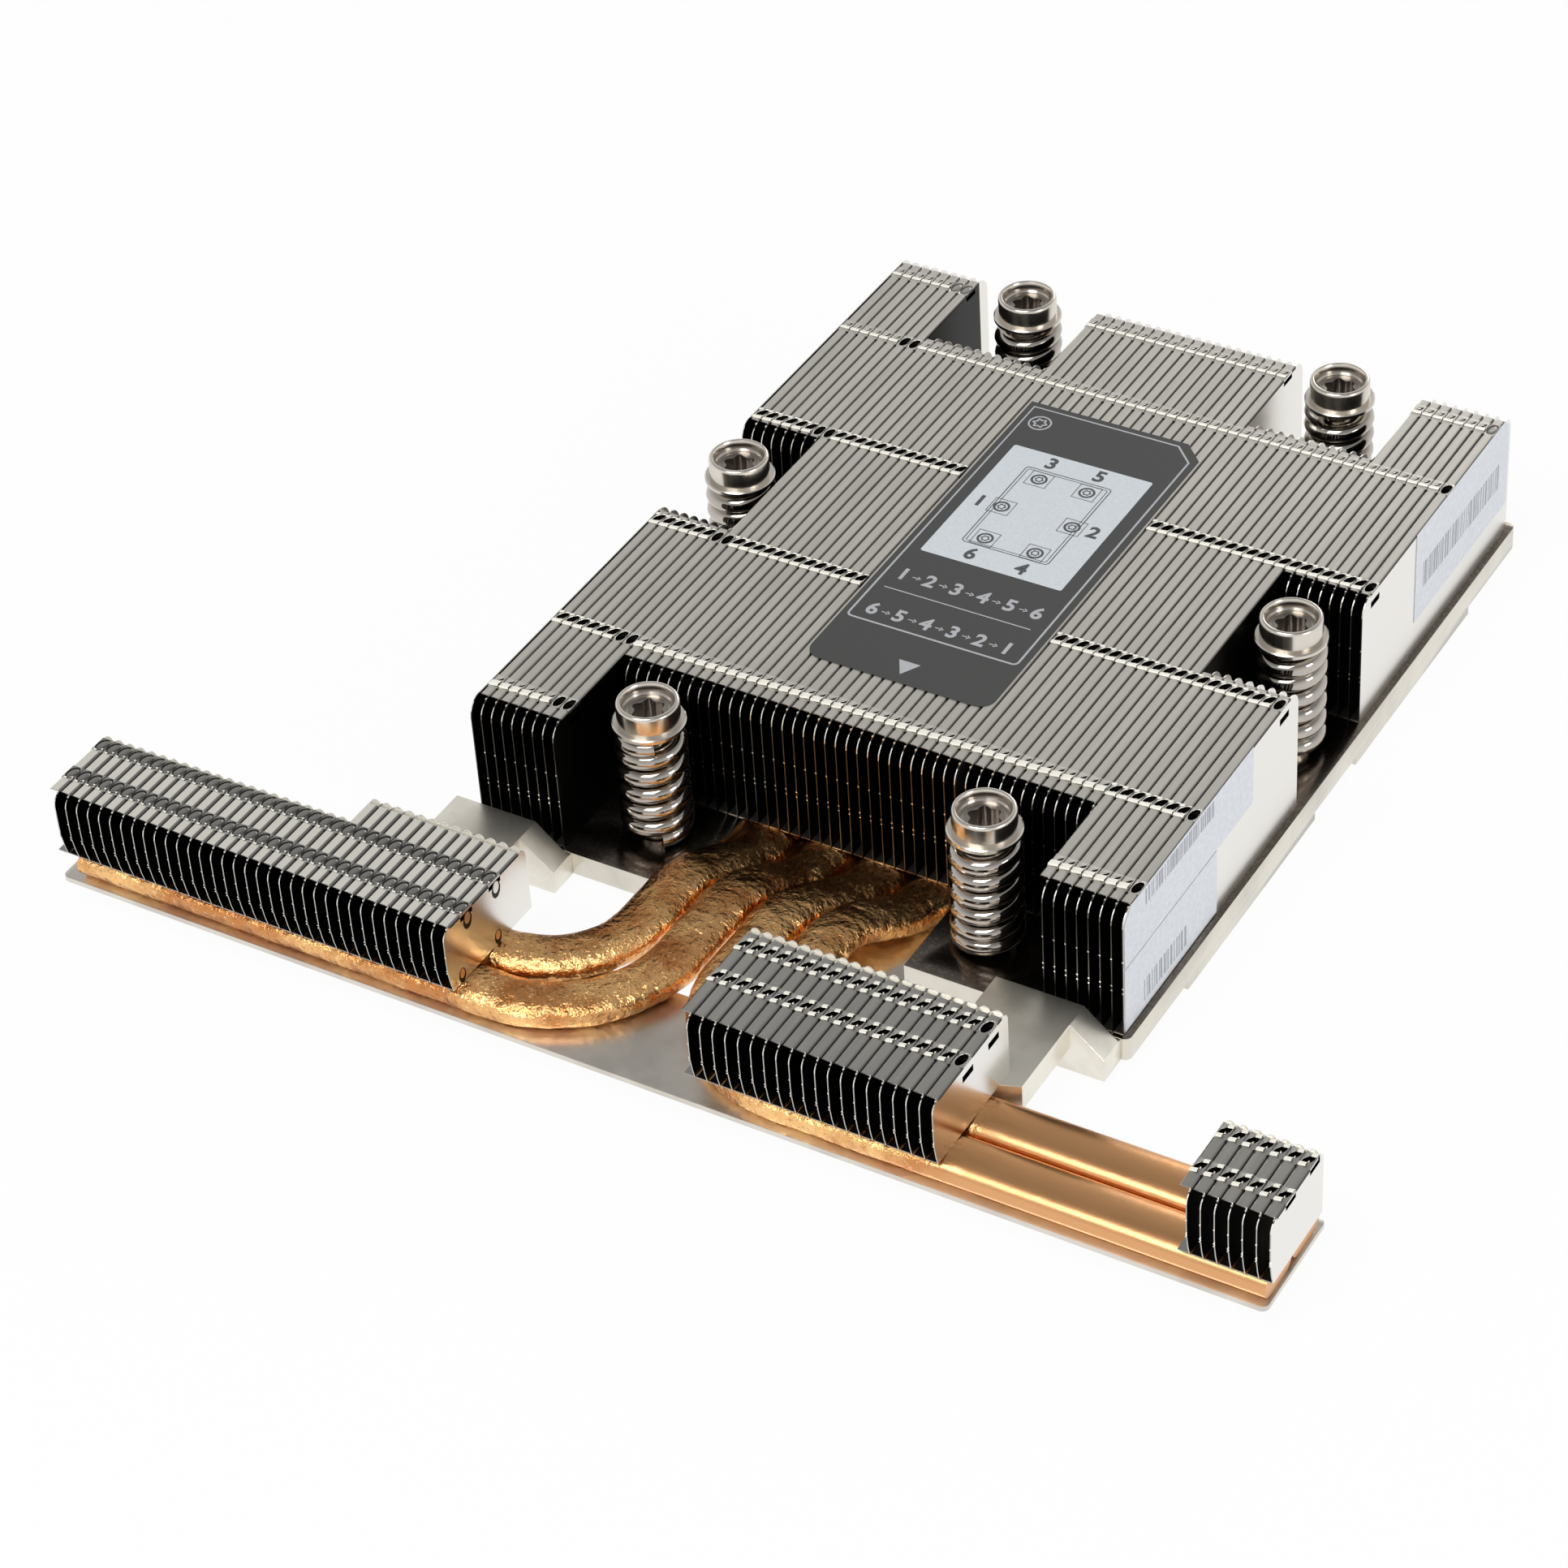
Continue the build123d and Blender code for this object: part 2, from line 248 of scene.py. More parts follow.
def platedBase():
    skin = Finish("nickel_base")
    specks = skin.noise(2400, 3, 0.7)
    clouds = skin.noise(70, 4, 0.6)
    marks = skin.noise(900, 2, 0.5, skin.stretched(0.5, 2.5, 0.25))
    rim = skin.mix(clouds.between(0.4, 0.7), (0.74, 0.70, 0.61), (0.62, 0.585, 0.51))
    # the top under the fins, speckled dark brown: painted shade and painted reflection of the dark fins
    shadedTop = skin.mix(specks.between(0.45, 0.72), (0.16, 0.135, 0.115), (0.30, 0.265, 0.23))
    shadedTop = skin.mix(clouds.between(0.5, 0.75) * 0.5, shadedTop, (0.40, 0.35, 0.30))
    color = skin.mix(skin.painted("stain"), rim, shadedTop)
    gloss = 0.2 + marks * 0.06 - skin.painted("stain") * 0.03
    return skin.finish(color, gloss, marks, 0.12, 0.02)


def brightSteel(name, base, low, high):
    skin = Finish(name)
    wear = skin.noise(700, 3, 0.6)
    rubbed = skin.noise(160, 3, 0.5)
    color = skin.mix(rubbed.between(0.4, 0.7), base, tuple(value * 0.86 for value in base))
    # the bore and the recess are painted darker: painted shade
    color = skin.mix(skin.painted("hollow"), color, (0.30, 0.27, 0.245))
    return skin.finish(color, low + wear * (high - low), wear, 0.08, 0.03)


def blastedMetal():
    skin = Finish("blasted_arm")
    grit = skin.noise(3600, 3, 0.7)
    clouds = skin.noise(160, 3, 0.6)
    color = skin.mix(clouds.between(0.4, 0.7), (0.88, 0.84, 0.75), (0.76, 0.72, 0.63))
    return skin.finish(color, 0.3 + grit * 0.18, grit, 0.35, 0.04)


def printedFilm(name, grainScale, roughness, strength):
    skin = Finish(name, metallic=0.0)
    grain = skin.noise(grainScale, 3, 0.6)
    ink = skin.wire("ShaderNodeAttribute", {"attribute_name": "ink"}, output="Color")
    shade = skin.mix((grain * 0.35 + 0.72).clamp(), black, ink)
    return skin.finish(shade, roughness + grain * 0.15, grain, strength, 0.03)


wingColors = dict(finColors, flange=(0.43, 0.415, 0.385), worn=(0.49, 0.475, 0.44))
finishes = {
    "nickel_fin": nickelFins("nickel_fin", finColors, 0.3, 0.34),
    "wing_fin": nickelFins("wing_fin", wingColors, 0.12, 0.26),
    "copper": copperPipe(),
    "nickel_base": platedBase(),
    "plain_sheet": brightSteel("plain_sheet", (0.76, 0.71, 0.64), 0.28, 0.42),
    "blasted_arm": blastedMetal(),
    "screw_steel": brightSteel("screw_steel", (0.72, 0.67, 0.60), 0.19, 0.26),
    "spring_steel": brightSteel("spring_steel", (0.50, 0.46, 0.415), 0.07, 0.15),
    "clip_steel": brightSteel("clip_steel", (0.55, 0.54, 0.52), 0.3, 0.45),
    "label_film": printedFilm("label_film", 3800, 0.42, 0.3),
    "sticker_paper": printedFilm("sticker_paper", 1500, 0.5, 0.08),
}
print("finishes made")


def opened(mesh, weld=0.0):
    # a mesh opened for work, its points within the weld distance merged
    work = bmesh.new()
    work.from_mesh(mesh)
    if weld:
        bmesh.ops.remove_doubles(work, verts=work.verts, dist=weld * mm)
    return work


def writeBack(work, mesh):
    work.to_mesh(mesh)
    work.free()


# Gathers faces in millimetres, with painted values for each, and makes one mesh in metres
class Shape:
    def __init__(self, *paints):
        self.points = []
        self.faces = []
        self.smooth = []
        self.paints = {name: [] for name in paints}

    def add(self, points, faces, smooth=False, **amounts):
        start = len(self.points)
        self.points += [Vector(point) for point in points]
        for face in faces:
            self.faces.append([start + corner for corner in face])
            self.smooth.append(smooth)
            for name, values in self.paints.items():
                values.append(amounts.get(name, 0.0))

    def prism(self, outline, push, sides=None, caps=None, **amounts):
        # closed block: the outline, pushed along a vector, with paint for each side or for all
        loop = [Vector(point) for point in outline]
        push = Vector(push)
        count = len(loop)
        paints = list(sides or [amounts] * count)
        normal = Vector()
        for here, after in zip(loop, loop[1:] + loop[:1]):
            normal += here.cross(after)
        if normal.dot(push) < 0:
            loop.reverse()
            paints = [paints[(count - 2 - index) % count] for index in range(count)]
        points = loop + [point + push for point in loop]
        for index, paint in enumerate(paints):
            after = (index + 1) % count
            self.stitch(points, [(index, after, after + count, index + count)], False, paint)
        ends = [tuple(reversed(range(count))), tuple(range(count, 2 * count))]
        self.stitch(points, ends, False, amounts if caps is None else caps)

    def block(self, low, high, **amounts):
        x0, y0, z0 = low
        x1, y1, z1 = high
        outline = [(x0, y0, z0), (x1, y0, z0), (x1, y1, z0), (x0, y1, z0)]
        self.prism(outline, (0, 0, z1 - z0), **amounts)

    def rings(self, loops, paints, capStart=False):
        # smooth skin over loops of equal length, closed at its last loop; a loop runs anticlockwise
        # seen from the way it faces
        count = len(loops[0])
        points = [point for loop in loops for point in loop]
        for step in range(len(loops) - 1):
            low = step * count
            faces = [(low + i, low + (i + 1) % count, low + count + (i + 1) % count, low + count + i)
                     for i in range(count)]
            self.stitch(points, faces, True, paints[step])
        if capStart:
            self.stitch(points, [tuple(reversed(range(count)))], False, paints[0])
        last = (len(loops) - 1) * count
        self.stitch(points, [tuple(range(last, last + count))], False, paints[-1])

    def stitch(self, points, faces, smooth, amounts):
        used = sorted({corner for face in faces for corner in face})
        place = {corner: index for index, corner in enumerate(used)}
        local = [[place[corner] for corner in face] for face in faces]
        self.add([points[corner] for corner in used], local, smooth, **amounts)

    def mesh(self, name, merge=0.0005):
        made = bpy.data.meshes.new(name)
        made.from_pydata([point * mm for point in self.points], [], self.faces)
        made.polygons.foreach_set("use_smooth", self.smooth)
        for paint, values in self.paints.items():
            if values and isinstance(values[0], tuple):
                layer = made.attributes.new(paint, "FLOAT_COLOR", "FACE")
                flat = [part for value in values for part in (*value, 1.0)]
                layer.data.foreach_set("color", flat)
            else:
                layer = made.attributes.new(paint, "FLOAT", "FACE")
                layer.data.foreach_set("value", values)
        if merge:
            writeBack(opened(made, merge), made)
        made.update()
        return made


def piece(name, data, material=None):
    made = bpy.data.objects.new(name, data)
    bpy.context.scene.collection.objects.link(made)
    if material:
        data.materials.clear()
        data.materials.append(material)
    return made


def settle(made, node, body="heatsink"):
    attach(made, body)
    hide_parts(node)
    return made


def finishedMesh(made):
    graph = bpy.context.evaluated_depsgraph_get()
    return bpy.data.meshes.new_from_object(made.evaluated_get(graph), depsgraph=graph)


def evaluated(made):
    # the object with its finished mesh, its modifiers applied and taken off
    mesh = finishedMesh(made)
    made.modifiers.clear()
    made.data = mesh
    return made


def grown(name, group, values, start=None):
    # one mesh from a Geometry Nodes tree, its inputs set by their identifiers
    made = piece(name, start or bpy.data.meshes.new(name))
    modifier = made.modifiers.new("grow", "NODES")
    modifier.node_group = group
    for item in group.interface.items_tree:
        if item.item_type == "SOCKET" and item.in_out == "INPUT" and item.name in values:
            modifier[item.identifier] = values[item.name]
    return evaluated(made)


def newGroup(name, inputs):
    group = bpy.data.node_groups.new(name, "GeometryNodeTree")
    for label, kind in inputs.items():
        group.interface.new_socket(label, in_out="INPUT", socket_type=kind)
    group.interface.new_socket("Geometry", in_out="OUTPUT", socket_type="NodeSocketGeometry")
    tree = Tree(group)
    source = tree.node("NodeGroupInput")
    return tree, {label: Wire(tree, source.outputs[label]) for label in inputs}


def finishGroup(tree, geometry, material):
    real = tree.wire("GeometryNodeRealizeInstances", {}, {"Geometry": geometry})
    dressed = tree.wire("GeometryNodeSetMaterial", {}, {"Geometry": real, "Material": material})
    tree.node("NodeGroupOutput", {}, {0: dressed})
    return tree.nodeTree


# Rows of folded fins. A fin is drawn once for each kind in a row, and a tree sets them out
solidFin = {"sheet": 0.3, "gap": 0.05}  # of the solids, to find the pitch from a node's box
finShape = {
    "sheet": 0.14, "bend": 0.36, "gap": 0.13, "tipWide": 0.17, "tipHigh": 0.11, "inset": 0.03,
    "dot": 0.12, "dotDown": 0.26, "tick": 0.06, "tickShares": (0.34, 0.38, 0.6), "tickDeep": 0.1,
    "cornerSides": 5, "bendSides": 3, "footShares": (0, 0.3, 0.65, 1), "plateFace": -0.02, "shortest": 0.05,
    "skirt": 0.1, "endSkirt": 1.4, "skirtHigh": 1.0, "plainDown": 0.3,
}
cell = {   # of every opening: its ring, its margins in the flange, its lip's tilt, and what fills it
    "half": 1.3, "sides": 12, "deep": 0.9, "marginX": 0.02, "marginY": 0.03, "edgeDown": 0.08,
    "lipMiddle": 0.55, "lipSwing": 0.45, "lipTurn": 35, "grooveOut": 0.1, "grooveDown": 0.2, "rimIn": 0.06,
    "rimDown": 0.04, "domeWide": 0.5, "domeLong": 0.6, "domeUp": 0.03, "blobHigh": 0.12, "markSides": 8,
    "slashDown": 0.02, "slashHigh": 0.032, "teeth": 5, "toothStart": 0.9, "toothStep": 0.4, "toothLong": 0.18,
    "toothHigh": 0.3, "toothGap": 0.01,
}
rampShape = {"root": 0.05, "run": 0.12, "front": 0.6, "rear": 0.2, "lean": 0.7, "edge": -0.02}
rearTab = {"narrower": 0.12, "out": 0.5, "down": 0.5, "sides": 8, "strapSide": 0.1, "strapDown": 0.3, "strapOut": 0.6}
# full painted shade, for holes, slits, grooves and the webs between fins
fullShade = {"soot": 1.0}
tiny = 1e-6
openings = {
    # hole: x, y, half width, half length, turn; lip: crest and foot outward, crest upward, shine, the strength of the
    # lip's painted highlight; ramps: left corner, width, length and height of the bright facets, painted highlights;
    # slash: x, y, half sizes, turn of a slit painted dark as shade
    "open": {"hole": (0.05, 0.26, 0.52, 1.0, -30), "lip": (0.07, 0.17, 0.13, 0.75),
             "ramps": ((-0.78, -1.16, 1.42, 0.62, 0.18), (-0.78, 0.8, 0.66, 0.42, 0.12)),
             "blobs": ((-0.06, -0.2, 0.24, 0.26, -0.32),)},
    "rope": {"hole": (0.02, 0.34, 0.19, 0.68, -44), "lip": (0.05, 0.1, 0.05, 0.3),
             "ramps": ((-0.78, -1.0, 1.4, 1.0, 0.3),), "slash": (0.34, 0.78, 0.045, 0.36, -40)},
    "closed": {"hole": (0.06, 0.3, 0.14, 0.66, -38), "lip": (0.06, 0.12, 0.06, 0.4),
               "ramps": ((-0.76, -0.66, 1.4, 0.55, 0.14),), "slash": (0.36, 0.8, 0.045, 0.3, -36)},
    "bright": {"hole": (-0.02, 0.02, 0.5, 0.92, -32), "lip": (0.04, 0.08, 0.03, 0.1),
               "ramps": ((-0.84, -1.24, 0.96, 0.6, 0.24), (0.02, 0.62, 0.8, 0.54, 0.22)),
               "blobs": ((0.1, -0.2, 0.13, 0.22, -0.12),)},
    "plate": {"hole": (0.02, 0.05, 0.62, 0.98, -10), "lip": (0.1, 0.2, 0.1, 0.0), "filled": True,
              "ramps": ((-0.55, -1.22, 0.5, 0.22, 0.12), (0.4, -0.82, 0.3, 0.2, 0.12))},
    "end": {"hole": (0.0, 0.0, 0.62, 1.15, -6), "lip": (0.05, 0.1, 0.05, 0.8), "serrated": True},
    "endGrey": {"hole": (0.0, 0.0, 0.6, 1.1, -6), "lip": (0.05, 0.1, 0.05, 0.0), "filled": True},
}


def cornerArc(center, radius, start, end, sides):
    turns = [math.radians(start + (end - start) * step / sides) for step in range(sides + 1)]
    return [(center[0] + radius * math.cos(turn), center[1] + radius * math.sin(turn)) for turn in turns]


def around(sides):
    return [2 * math.pi * step / sides for step in range(sides)]


def wavyRing(center, radius, wave, lobes, sides):
    points = []
    for angle in around(sides):
        out = radius + wave * math.cos(lobes * angle)
        points.append((center[0] + out * math.cos(angle), center[1] + out * math.sin(angle)))
    return points


def rectangle(left, low, right, high):
    return [(left, low), (right, low), (right, high), (left, high)]


def leanRing(center, wide, long, turn, heights, bounds):
    # a leaning lens of points, kept inside the flange's own strip
    loop = []
    lean = math.radians(turn)
    for angle, height in zip(around(len(heights)), heights):
        across = wide * math.cos(angle)
        along = long * math.sin(angle)
        x = center[0] + across * math.cos(lean) - along * math.sin(lean)
        y = center[1] + across * math.sin(lean) + along * math.cos(lean)
        loop.append((min(max(x, bounds[0]), bounds[1]), min(max(y, bounds[2]), bounds[3]), height))
    return loop


def cellFrame(center, halfWide, halfLong, height, sides):
    # rectangle with one point for each side of the ring, its own corners among them
    loop = []
    for angle in around(sides):
        reach = min(halfWide / max(abs(math.cos(angle)), tiny), halfLong / max(abs(math.sin(angle)), tiny))
        loop.append([center[0] + reach * math.cos(angle), center[1] + reach * math.sin(angle), height])
    for sideX in (-1, 1):
        for sideY in (-1, 1):
            corner = (center[0] + sideX * halfWide, center[1] + sideY * halfLong)
            near = min(loop, key=lambda point: math.hypot(point[0] - corner[0], point[1] - corner[1]))
            near[0], near[1] = corner
    return loop


def blob(shape, x, y, wide, long, top):
    # low round bump that stands on the sheet, painted as a highlight
    loops = []
    for share, level in ((1.0, -0.1), (0.86, 0.55), (0.45, 1.0)):
        height = top + cell["blobHigh"] * level
        loops.append([(x + wide * share * math.cos(angle), y + long * share * math.sin(angle), height)
                      for angle in around(cell["markSides"])])
    shape.rings(loops, [{"lip": 0.7}] * len(loops))


def interlock(shape, place, reach, top, style):
    # the zipper opening of a fin: a leaning hole with a raised lip, and the facets pressed up beside it; its hole,
    # groove and slit are painted dark as shade, its lip, blobs, facets and teeth painted as highlights
    look = openings[style]
    x, y, wide, long, turn = look["hole"]
    crestOut, footOut, crestUp, shine = look["lip"]
    half = reach / 2
    middle = (-half, place)
    center = (middle[0] + x, middle[1] + y)
    c = cell
    sides = c["sides"]
    bounds = (middle[0] - half + c["marginX"], middle[0] + half - c["marginX"],
              place - c["half"] + c["marginY"], place + c["half"] - c["marginY"])

    def ring(across, along, height):
        return leanRing(center, across, along, turn, [height] * sides, bounds)

    outer = cellFrame(middle, half, c["half"], top, sides)
    lifts = []
    for angle in around(sides):  # the lip stands highest on the rear left
        tilt = angle + math.radians(turn) + math.radians(c["lipTurn"])
        lifts.append(top + crestUp * (c["lipMiddle"] - c["lipSwing"] * math.cos(tilt)))
    foot = ring(wide + footOut, long + footOut, top)
    if look.get("filled"):
        groove = ring(wide + c["grooveOut"], long + c["grooveOut"], top - c["grooveDown"])
        rim = ring(wide - c["rimIn"], long - c["rimIn"], top - c["rimDown"])
        dome = ring(wide * c["domeWide"], long * c["domeLong"], top + c["domeUp"])
        shape.rings([outer, foot, groove, rim, dome],
                    [{}, {"soot": 0.9}, {"soot": 0.8}, {"soot": 0.4}, {"soot": 0.3}])
    else:
        crest = leanRing(center, wide + crestOut, long + crestOut, turn, lifts, bounds)
        edge = ring(wide, long, top - c["edgeDown"])
        deep = ring(wide, long, top - c["deep"])
        shape.rings([outer, foot, crest, edge, deep], [{}, {"lip": shine * 0.8}, {"lip": shine}, fullShade, fullShade])
    for blobX, blobY, blobWide, blobLong, blobUp in look.get("blobs", ()):
        blob(shape, middle[0] + blobX, middle[1] + blobY, blobWide, blobLong, top + blobUp)
    for rampX, rampY, rampWide, rampLong, rampUp in look.get("ramps", ()):
        ramp(shape, middle[0] + rampX, middle[1] + rampY, rampWide, rampLong, top, rampUp)
    if "slash" in look:
        slashX, slashY, slashWide, slashLong, slashTurn = look["slash"]
        spot = (middle[0] + slashX, middle[1] + slashY)
        heights = [top - c["slashDown"]] * c["markSides"]
        loop = leanRing(spot, slashWide, slashLong, slashTurn, heights, bounds)
        shape.prism(loop, (0, 0, c["slashHigh"]), soot=0.9)
    if look.get("serrated"):
        for step in range(c["teeth"]):
            low = place - c["toothStart"] + c["toothStep"] * step
            shape.block((-finShape["sheet"], low, top - c["toothHigh"]),
                        (-c["toothGap"], low + c["toothLong"], top - c["toothGap"]), lip=1.0)


def ramp(shape, x, y, wide, long, top, high):
    # facet that stands up at its front and falls to the rear, its right end higher; painted as a pale highlight, its
    # end faces painted dark as shade
    r = rampShape
    right = min(x + wide, r["edge"])
    outline = [(x, y, top - r["root"]), (x, y + r["run"], top + high * r["front"]),
               (x, y + long, top + high * r["rear"]), (x, y + long, top - r["root"])]
    shape.prism(outline, (right - x, 0, high * r["lean"]), caps={"soot": 0.9}, facet=1.0)


def notch(shape, y, z, wide, high, warm):
    # opening in the outer face of an end fin: a slot painted dark as shade, with what shows behind it
    for share, lift, out, amounts in ((1.0, 0.0, 0.01, fullShade), (0.66, 0.24, 0.018, warm)):
        loop = []
        for angle in around(10):
            up = lift + share * math.sin(angle)
            loop.append((finShape["plateFace"], y + wide * share * math.cos(angle), z + high * up))
        shape.prism(loop, (out, 0, 0), **amounts)


def finMesh(name, size, rows, folded=True, plate=False, notches=()):
    # one fin, its web's outer face at X = 0: the web, both flanges and the interlock openings
    s = finShape
    shape = Shape("lip", "soot", "plate", "warm", "facet")
    front = size["front"] + s["inset"]
    rear, bottom, top, corner = size["rear"], size["bottom"], size["top"], size["corner"]
    reach = size["pitch"] - s["gap"]
    bend, sheet = s["bend"], s["sheet"]
    outside = s["plateFace"] if plate else 0.0
    flangeFront = size["front"] + corner
    flangeRear = rear - corner - size["tab"]
    arcFront = cornerArc((front + corner, top - corner), corner, 180, 90, s["cornerSides"])
    arcRear = cornerArc((rear - corner, top - corner), corner, 90, 0, s["cornerSides"])
    level = top - bend if folded else top
    drop = [(flangeFront, level), (flangeRear, level)] if folded else [(flangeRear, top)]
    foot = size["foot"]
    toe = [(front, bottom)]
    if foot:
        toe = [(front + foot * (1 - share) ** 2, bottom + size["footHigh"] * share)
               for share in s["footShares"]]
    outline = toe + arcFront + drop
    # the web's faces: painted shade between the fins, or the lighter, lit nickel on an end plate's outer face
    upright = {"plate": 1.0} if plate else fullShade
    # the fin's cut edges: painted highlights, with painted shade on parts of them
    rims = [{"soot": size["rimShade"], "lip": 0.5}] * len(toe) + [{"lip": 0.8}] * 2
    rims += [{"lip": 0.6, "soot": 0.3}, {"soot": 0.9}, {"soot": 0.9}]
    rims += [{"lip": 0.3}] * (len(outline) + 1 - len(rims))
    main = outline + [(flangeRear, bottom)]
    shape.prism([(outside - sheet, y, z) for y, z in main], (sheet, 0, 0), sides=rims, caps=upright)
    lobeTop = level if folded else top - s["plainDown"]
    # the rear lobe: its edges a painted highlight, its end faces the lighter, lit nickel
    lobe = [(flangeRear, bottom), (flangeRear, lobeTop)] + arcRear + [(rear, bottom)]
    shape.prism([(outside - sheet, y, z) for y, z in lobe], (sheet, 0, 0), caps={"plate": 1.0}, lip=0.8)
    if not folded:
        return shape.mesh(name)
    curve = cornerArc((-bend, top - bend), bend, 0, 90, s["bendSides"])
    bendRing = curve + [(-bend, top - sheet), (-sheet, top - bend)]
    # the bend is painted dark as shade, the groove between two flanges
    bendPaint = [fullShade, {"soot": 0.65}, {}, fullShade, fullShade, fullShade]
    flat = [(-bend, top), (-reach + s["tipWide"], top), (-reach, top - s["tipHigh"]), (-reach, top - sheet),
            (-bend, top - sheet)]
    # the flange's tip edge is a painted highlight, its cut sides painted shade
    flatPaint = [{"facet": size["pale"]}, {"lip": 0.95}, fullShade, fullShade, fullShade]
    cells = sorted(place for place, style in rows)
    starts = [flangeFront] + [y + cell["half"] for y in cells]
    ends = [y - cell["half"] for y in cells] + [flangeRear]
    for start, end in zip(starts, ends):
        if end - start > s["shortest"]:
            push = (0, end - start, 0)
            shape.prism([(x, start, z) for x, z in bendRing], push, sides=bendPaint, caps={"lip": 0.6})
            shape.prism([(x, start, z) for x, z in flat], push, sides=flatPaint, caps={"soot": 0.3})
    for place, style in rows:
        interlock(shape, place, reach, top, style)
        skirt = s["endSkirt"] if style == "end" else s["skirt"]
        shape.block((-sheet, place - cell["half"], top - s["skirtHigh"] - skirt),
                    (outside, place + cell["half"], top - skirt), **upright)
    # the bottom flange, painted half shade and half highlight
    shape.block((-reach, front + foot, bottom), (-sheet, flangeRear, bottom + sheet), soot=0.45, lip=0.5)
    if size["tabHigh"]:  # rounded tab that stands at the rear end of the flange, on its strap, painted as a highlight
        t = rearTab
        tabWide = (reach - t["narrower"]) / 2
        loop = []
        for step in range(t["sides"] + 1):
            turn = math.pi * step / t["sides"]
            loop.append((-reach / 2 + tabWide * math.cos(turn), flangeRear + t["out"],
                         top - t["down"] + size["tabHigh"] * math.sin(turn)))
        shape.prism(loop, (0, sheet, 0), facet=0.6, lip=1.0)
        shape.block((-reach + t["strapSide"], flangeRear, top - t["strapDown"]),
                    (-t["strapSide"], flangeRear + t["strapOut"], top - sheet), lip=0.6)
    # bright dots and ticks on the front edge: painted highlights
    dot = s["dot"]
    for x, y, z in ((-dot, flangeFront, top - s["dotDown"]), (-sheet / 2, *arcFront[-2])):
        shape.block((x - dot, y - dot, z - dot), (x + dot * 0.8, y + dot, z + dot), lip=1.0)
    for share in s["tickShares"]:
        z = bottom + (top - bottom) * share
        shape.block((-sheet - s["tick"], size["front"], z), (0, front + s["tickDeep"], z + 3 * s["tick"]), lip=0.9)
    for y, z, wide, high, warm in notches:
        notch(shape, y, z, wide, high, warm)
    return shape.mesh(name)


def rowTree():
    tree, given = newGroup("fin row", {
        "Geometry": "NodeSocketGeometry", "Models": "NodeSocketCollection", "Seed": "NodeSocketInt",
        "Material": "NodeSocketMaterial"})
    models = tree.wire("GeometryNodeCollectionInfo", {}, {
        "Collection": given["Models"], "Separate Children": True, "Reset Children": True})
    kind = tree.node("GeometryNodeInputNamedAttribute", {"data_type": "INT"}, {"Name": "model"})
    fins = tree.wire("GeometryNodeInstanceOnPoints", {}, {
        "Points": given["Geometry"], "Instance": models, "Pick Instance": True,
        "Instance Index": Wire(tree, kind.outputs["Attribute"])})
    tone = tree.wire("FunctionNodeRandomValue", {"data_type": "FLOAT"}, {"Seed": given["Seed"]}, output=1)
    toned = tree.wire("GeometryNodeStoreNamedAttribute", {"data_type": "FLOAT", "domain": "INSTANCE"}, {
        "Geometry": fins, "Name": "finTone", "Value": tone})
    return finishGroup(tree, toned, given["Material"])


mainRows = {"A": -53.5, "B": -38.4, "C": -14.4, "D": 12.7, "E": 36.6, "F": 51.7}
mainStyles = {"A": "rope", "B": "rope", "b": "open", "C": "open", "D": "open", "E": "closed", "F": "closed"}
finRows = {   # fins, interlock rows; the first fin plain; end: the last fin shows its holes; covered: no C, D
    "fins_left_front": {"count": 8, "rows": "AbC", "plainFirst": True, "end": True},
    "fins_left_rear": {"count": 8, "rows": "DEF", "plainFirst": True, "end": True},
    "fin_left_full": {"count": 1, "rows": "ABCDEF", "end": True},
    "fins_left_inner": {"count": 12, "rows": "BCDE"},
    "fins_centre": {"count": 20, "rows": "BCDEF", "covered": "BEF", "plate": True},
    "fins_right_inner": {"count": 12, "rows": "BCDE"},
    "fins_right_front": {"count": 8, "rows": "AbC", "end": True, "outer": True},
    "fins_right_rear": {"count": 8, "rows": "DEF", "end": True, "outer": True},
}
copperSlot = {"warm": 1.0}
plateRows = ((-81.5, "plate"), (-87.8, "plate"))
brightRows = ((-81.5, "bright"), (-87.8, "bright"))
wingRows = {   # fins, rows with their style, the last fin's rows, and openings in its outer face
    "fins_wing_left": (22, plateRows, None, ()),
    "fins_wing_left_wide": (13, plateRows, plateRows, (
        (-81.3, 17.0, 0.95, 1.35, {"plate": 1.0}), (-87.7, 17.0, 0.95, 1.35, {"warm": 0.4}),
        (-82.0, 9.9, 0.75, 1.1, copperSlot), (-90.0, 9.9, 0.75, 1.1, copperSlot))),
    "fins_wing_middle": (20, ((-78.1, "bright"), (-84.4, "bright")), ((-78.1, "end"), (-84.4, "end")), ()),
    "fins_wing_right": (7, brightRows, brightRows, ()),
}
# the rim value is the painted shade on the fins' lower front edges
mainForm = {
    "corner": 2.3, "tab": 0.0, "tabHigh": 0.0, "foot": 0.0, "footHigh": 0.0, "rimShade": 0.9, "pale": 0.05,
}
wingForm = {"corner": 1.4, "tab": 0.1, "tabHigh": 0.9, "foot": 0.8, "footHigh": 5.0, "rimShade": 0.25}
rowGroup = rowTree()


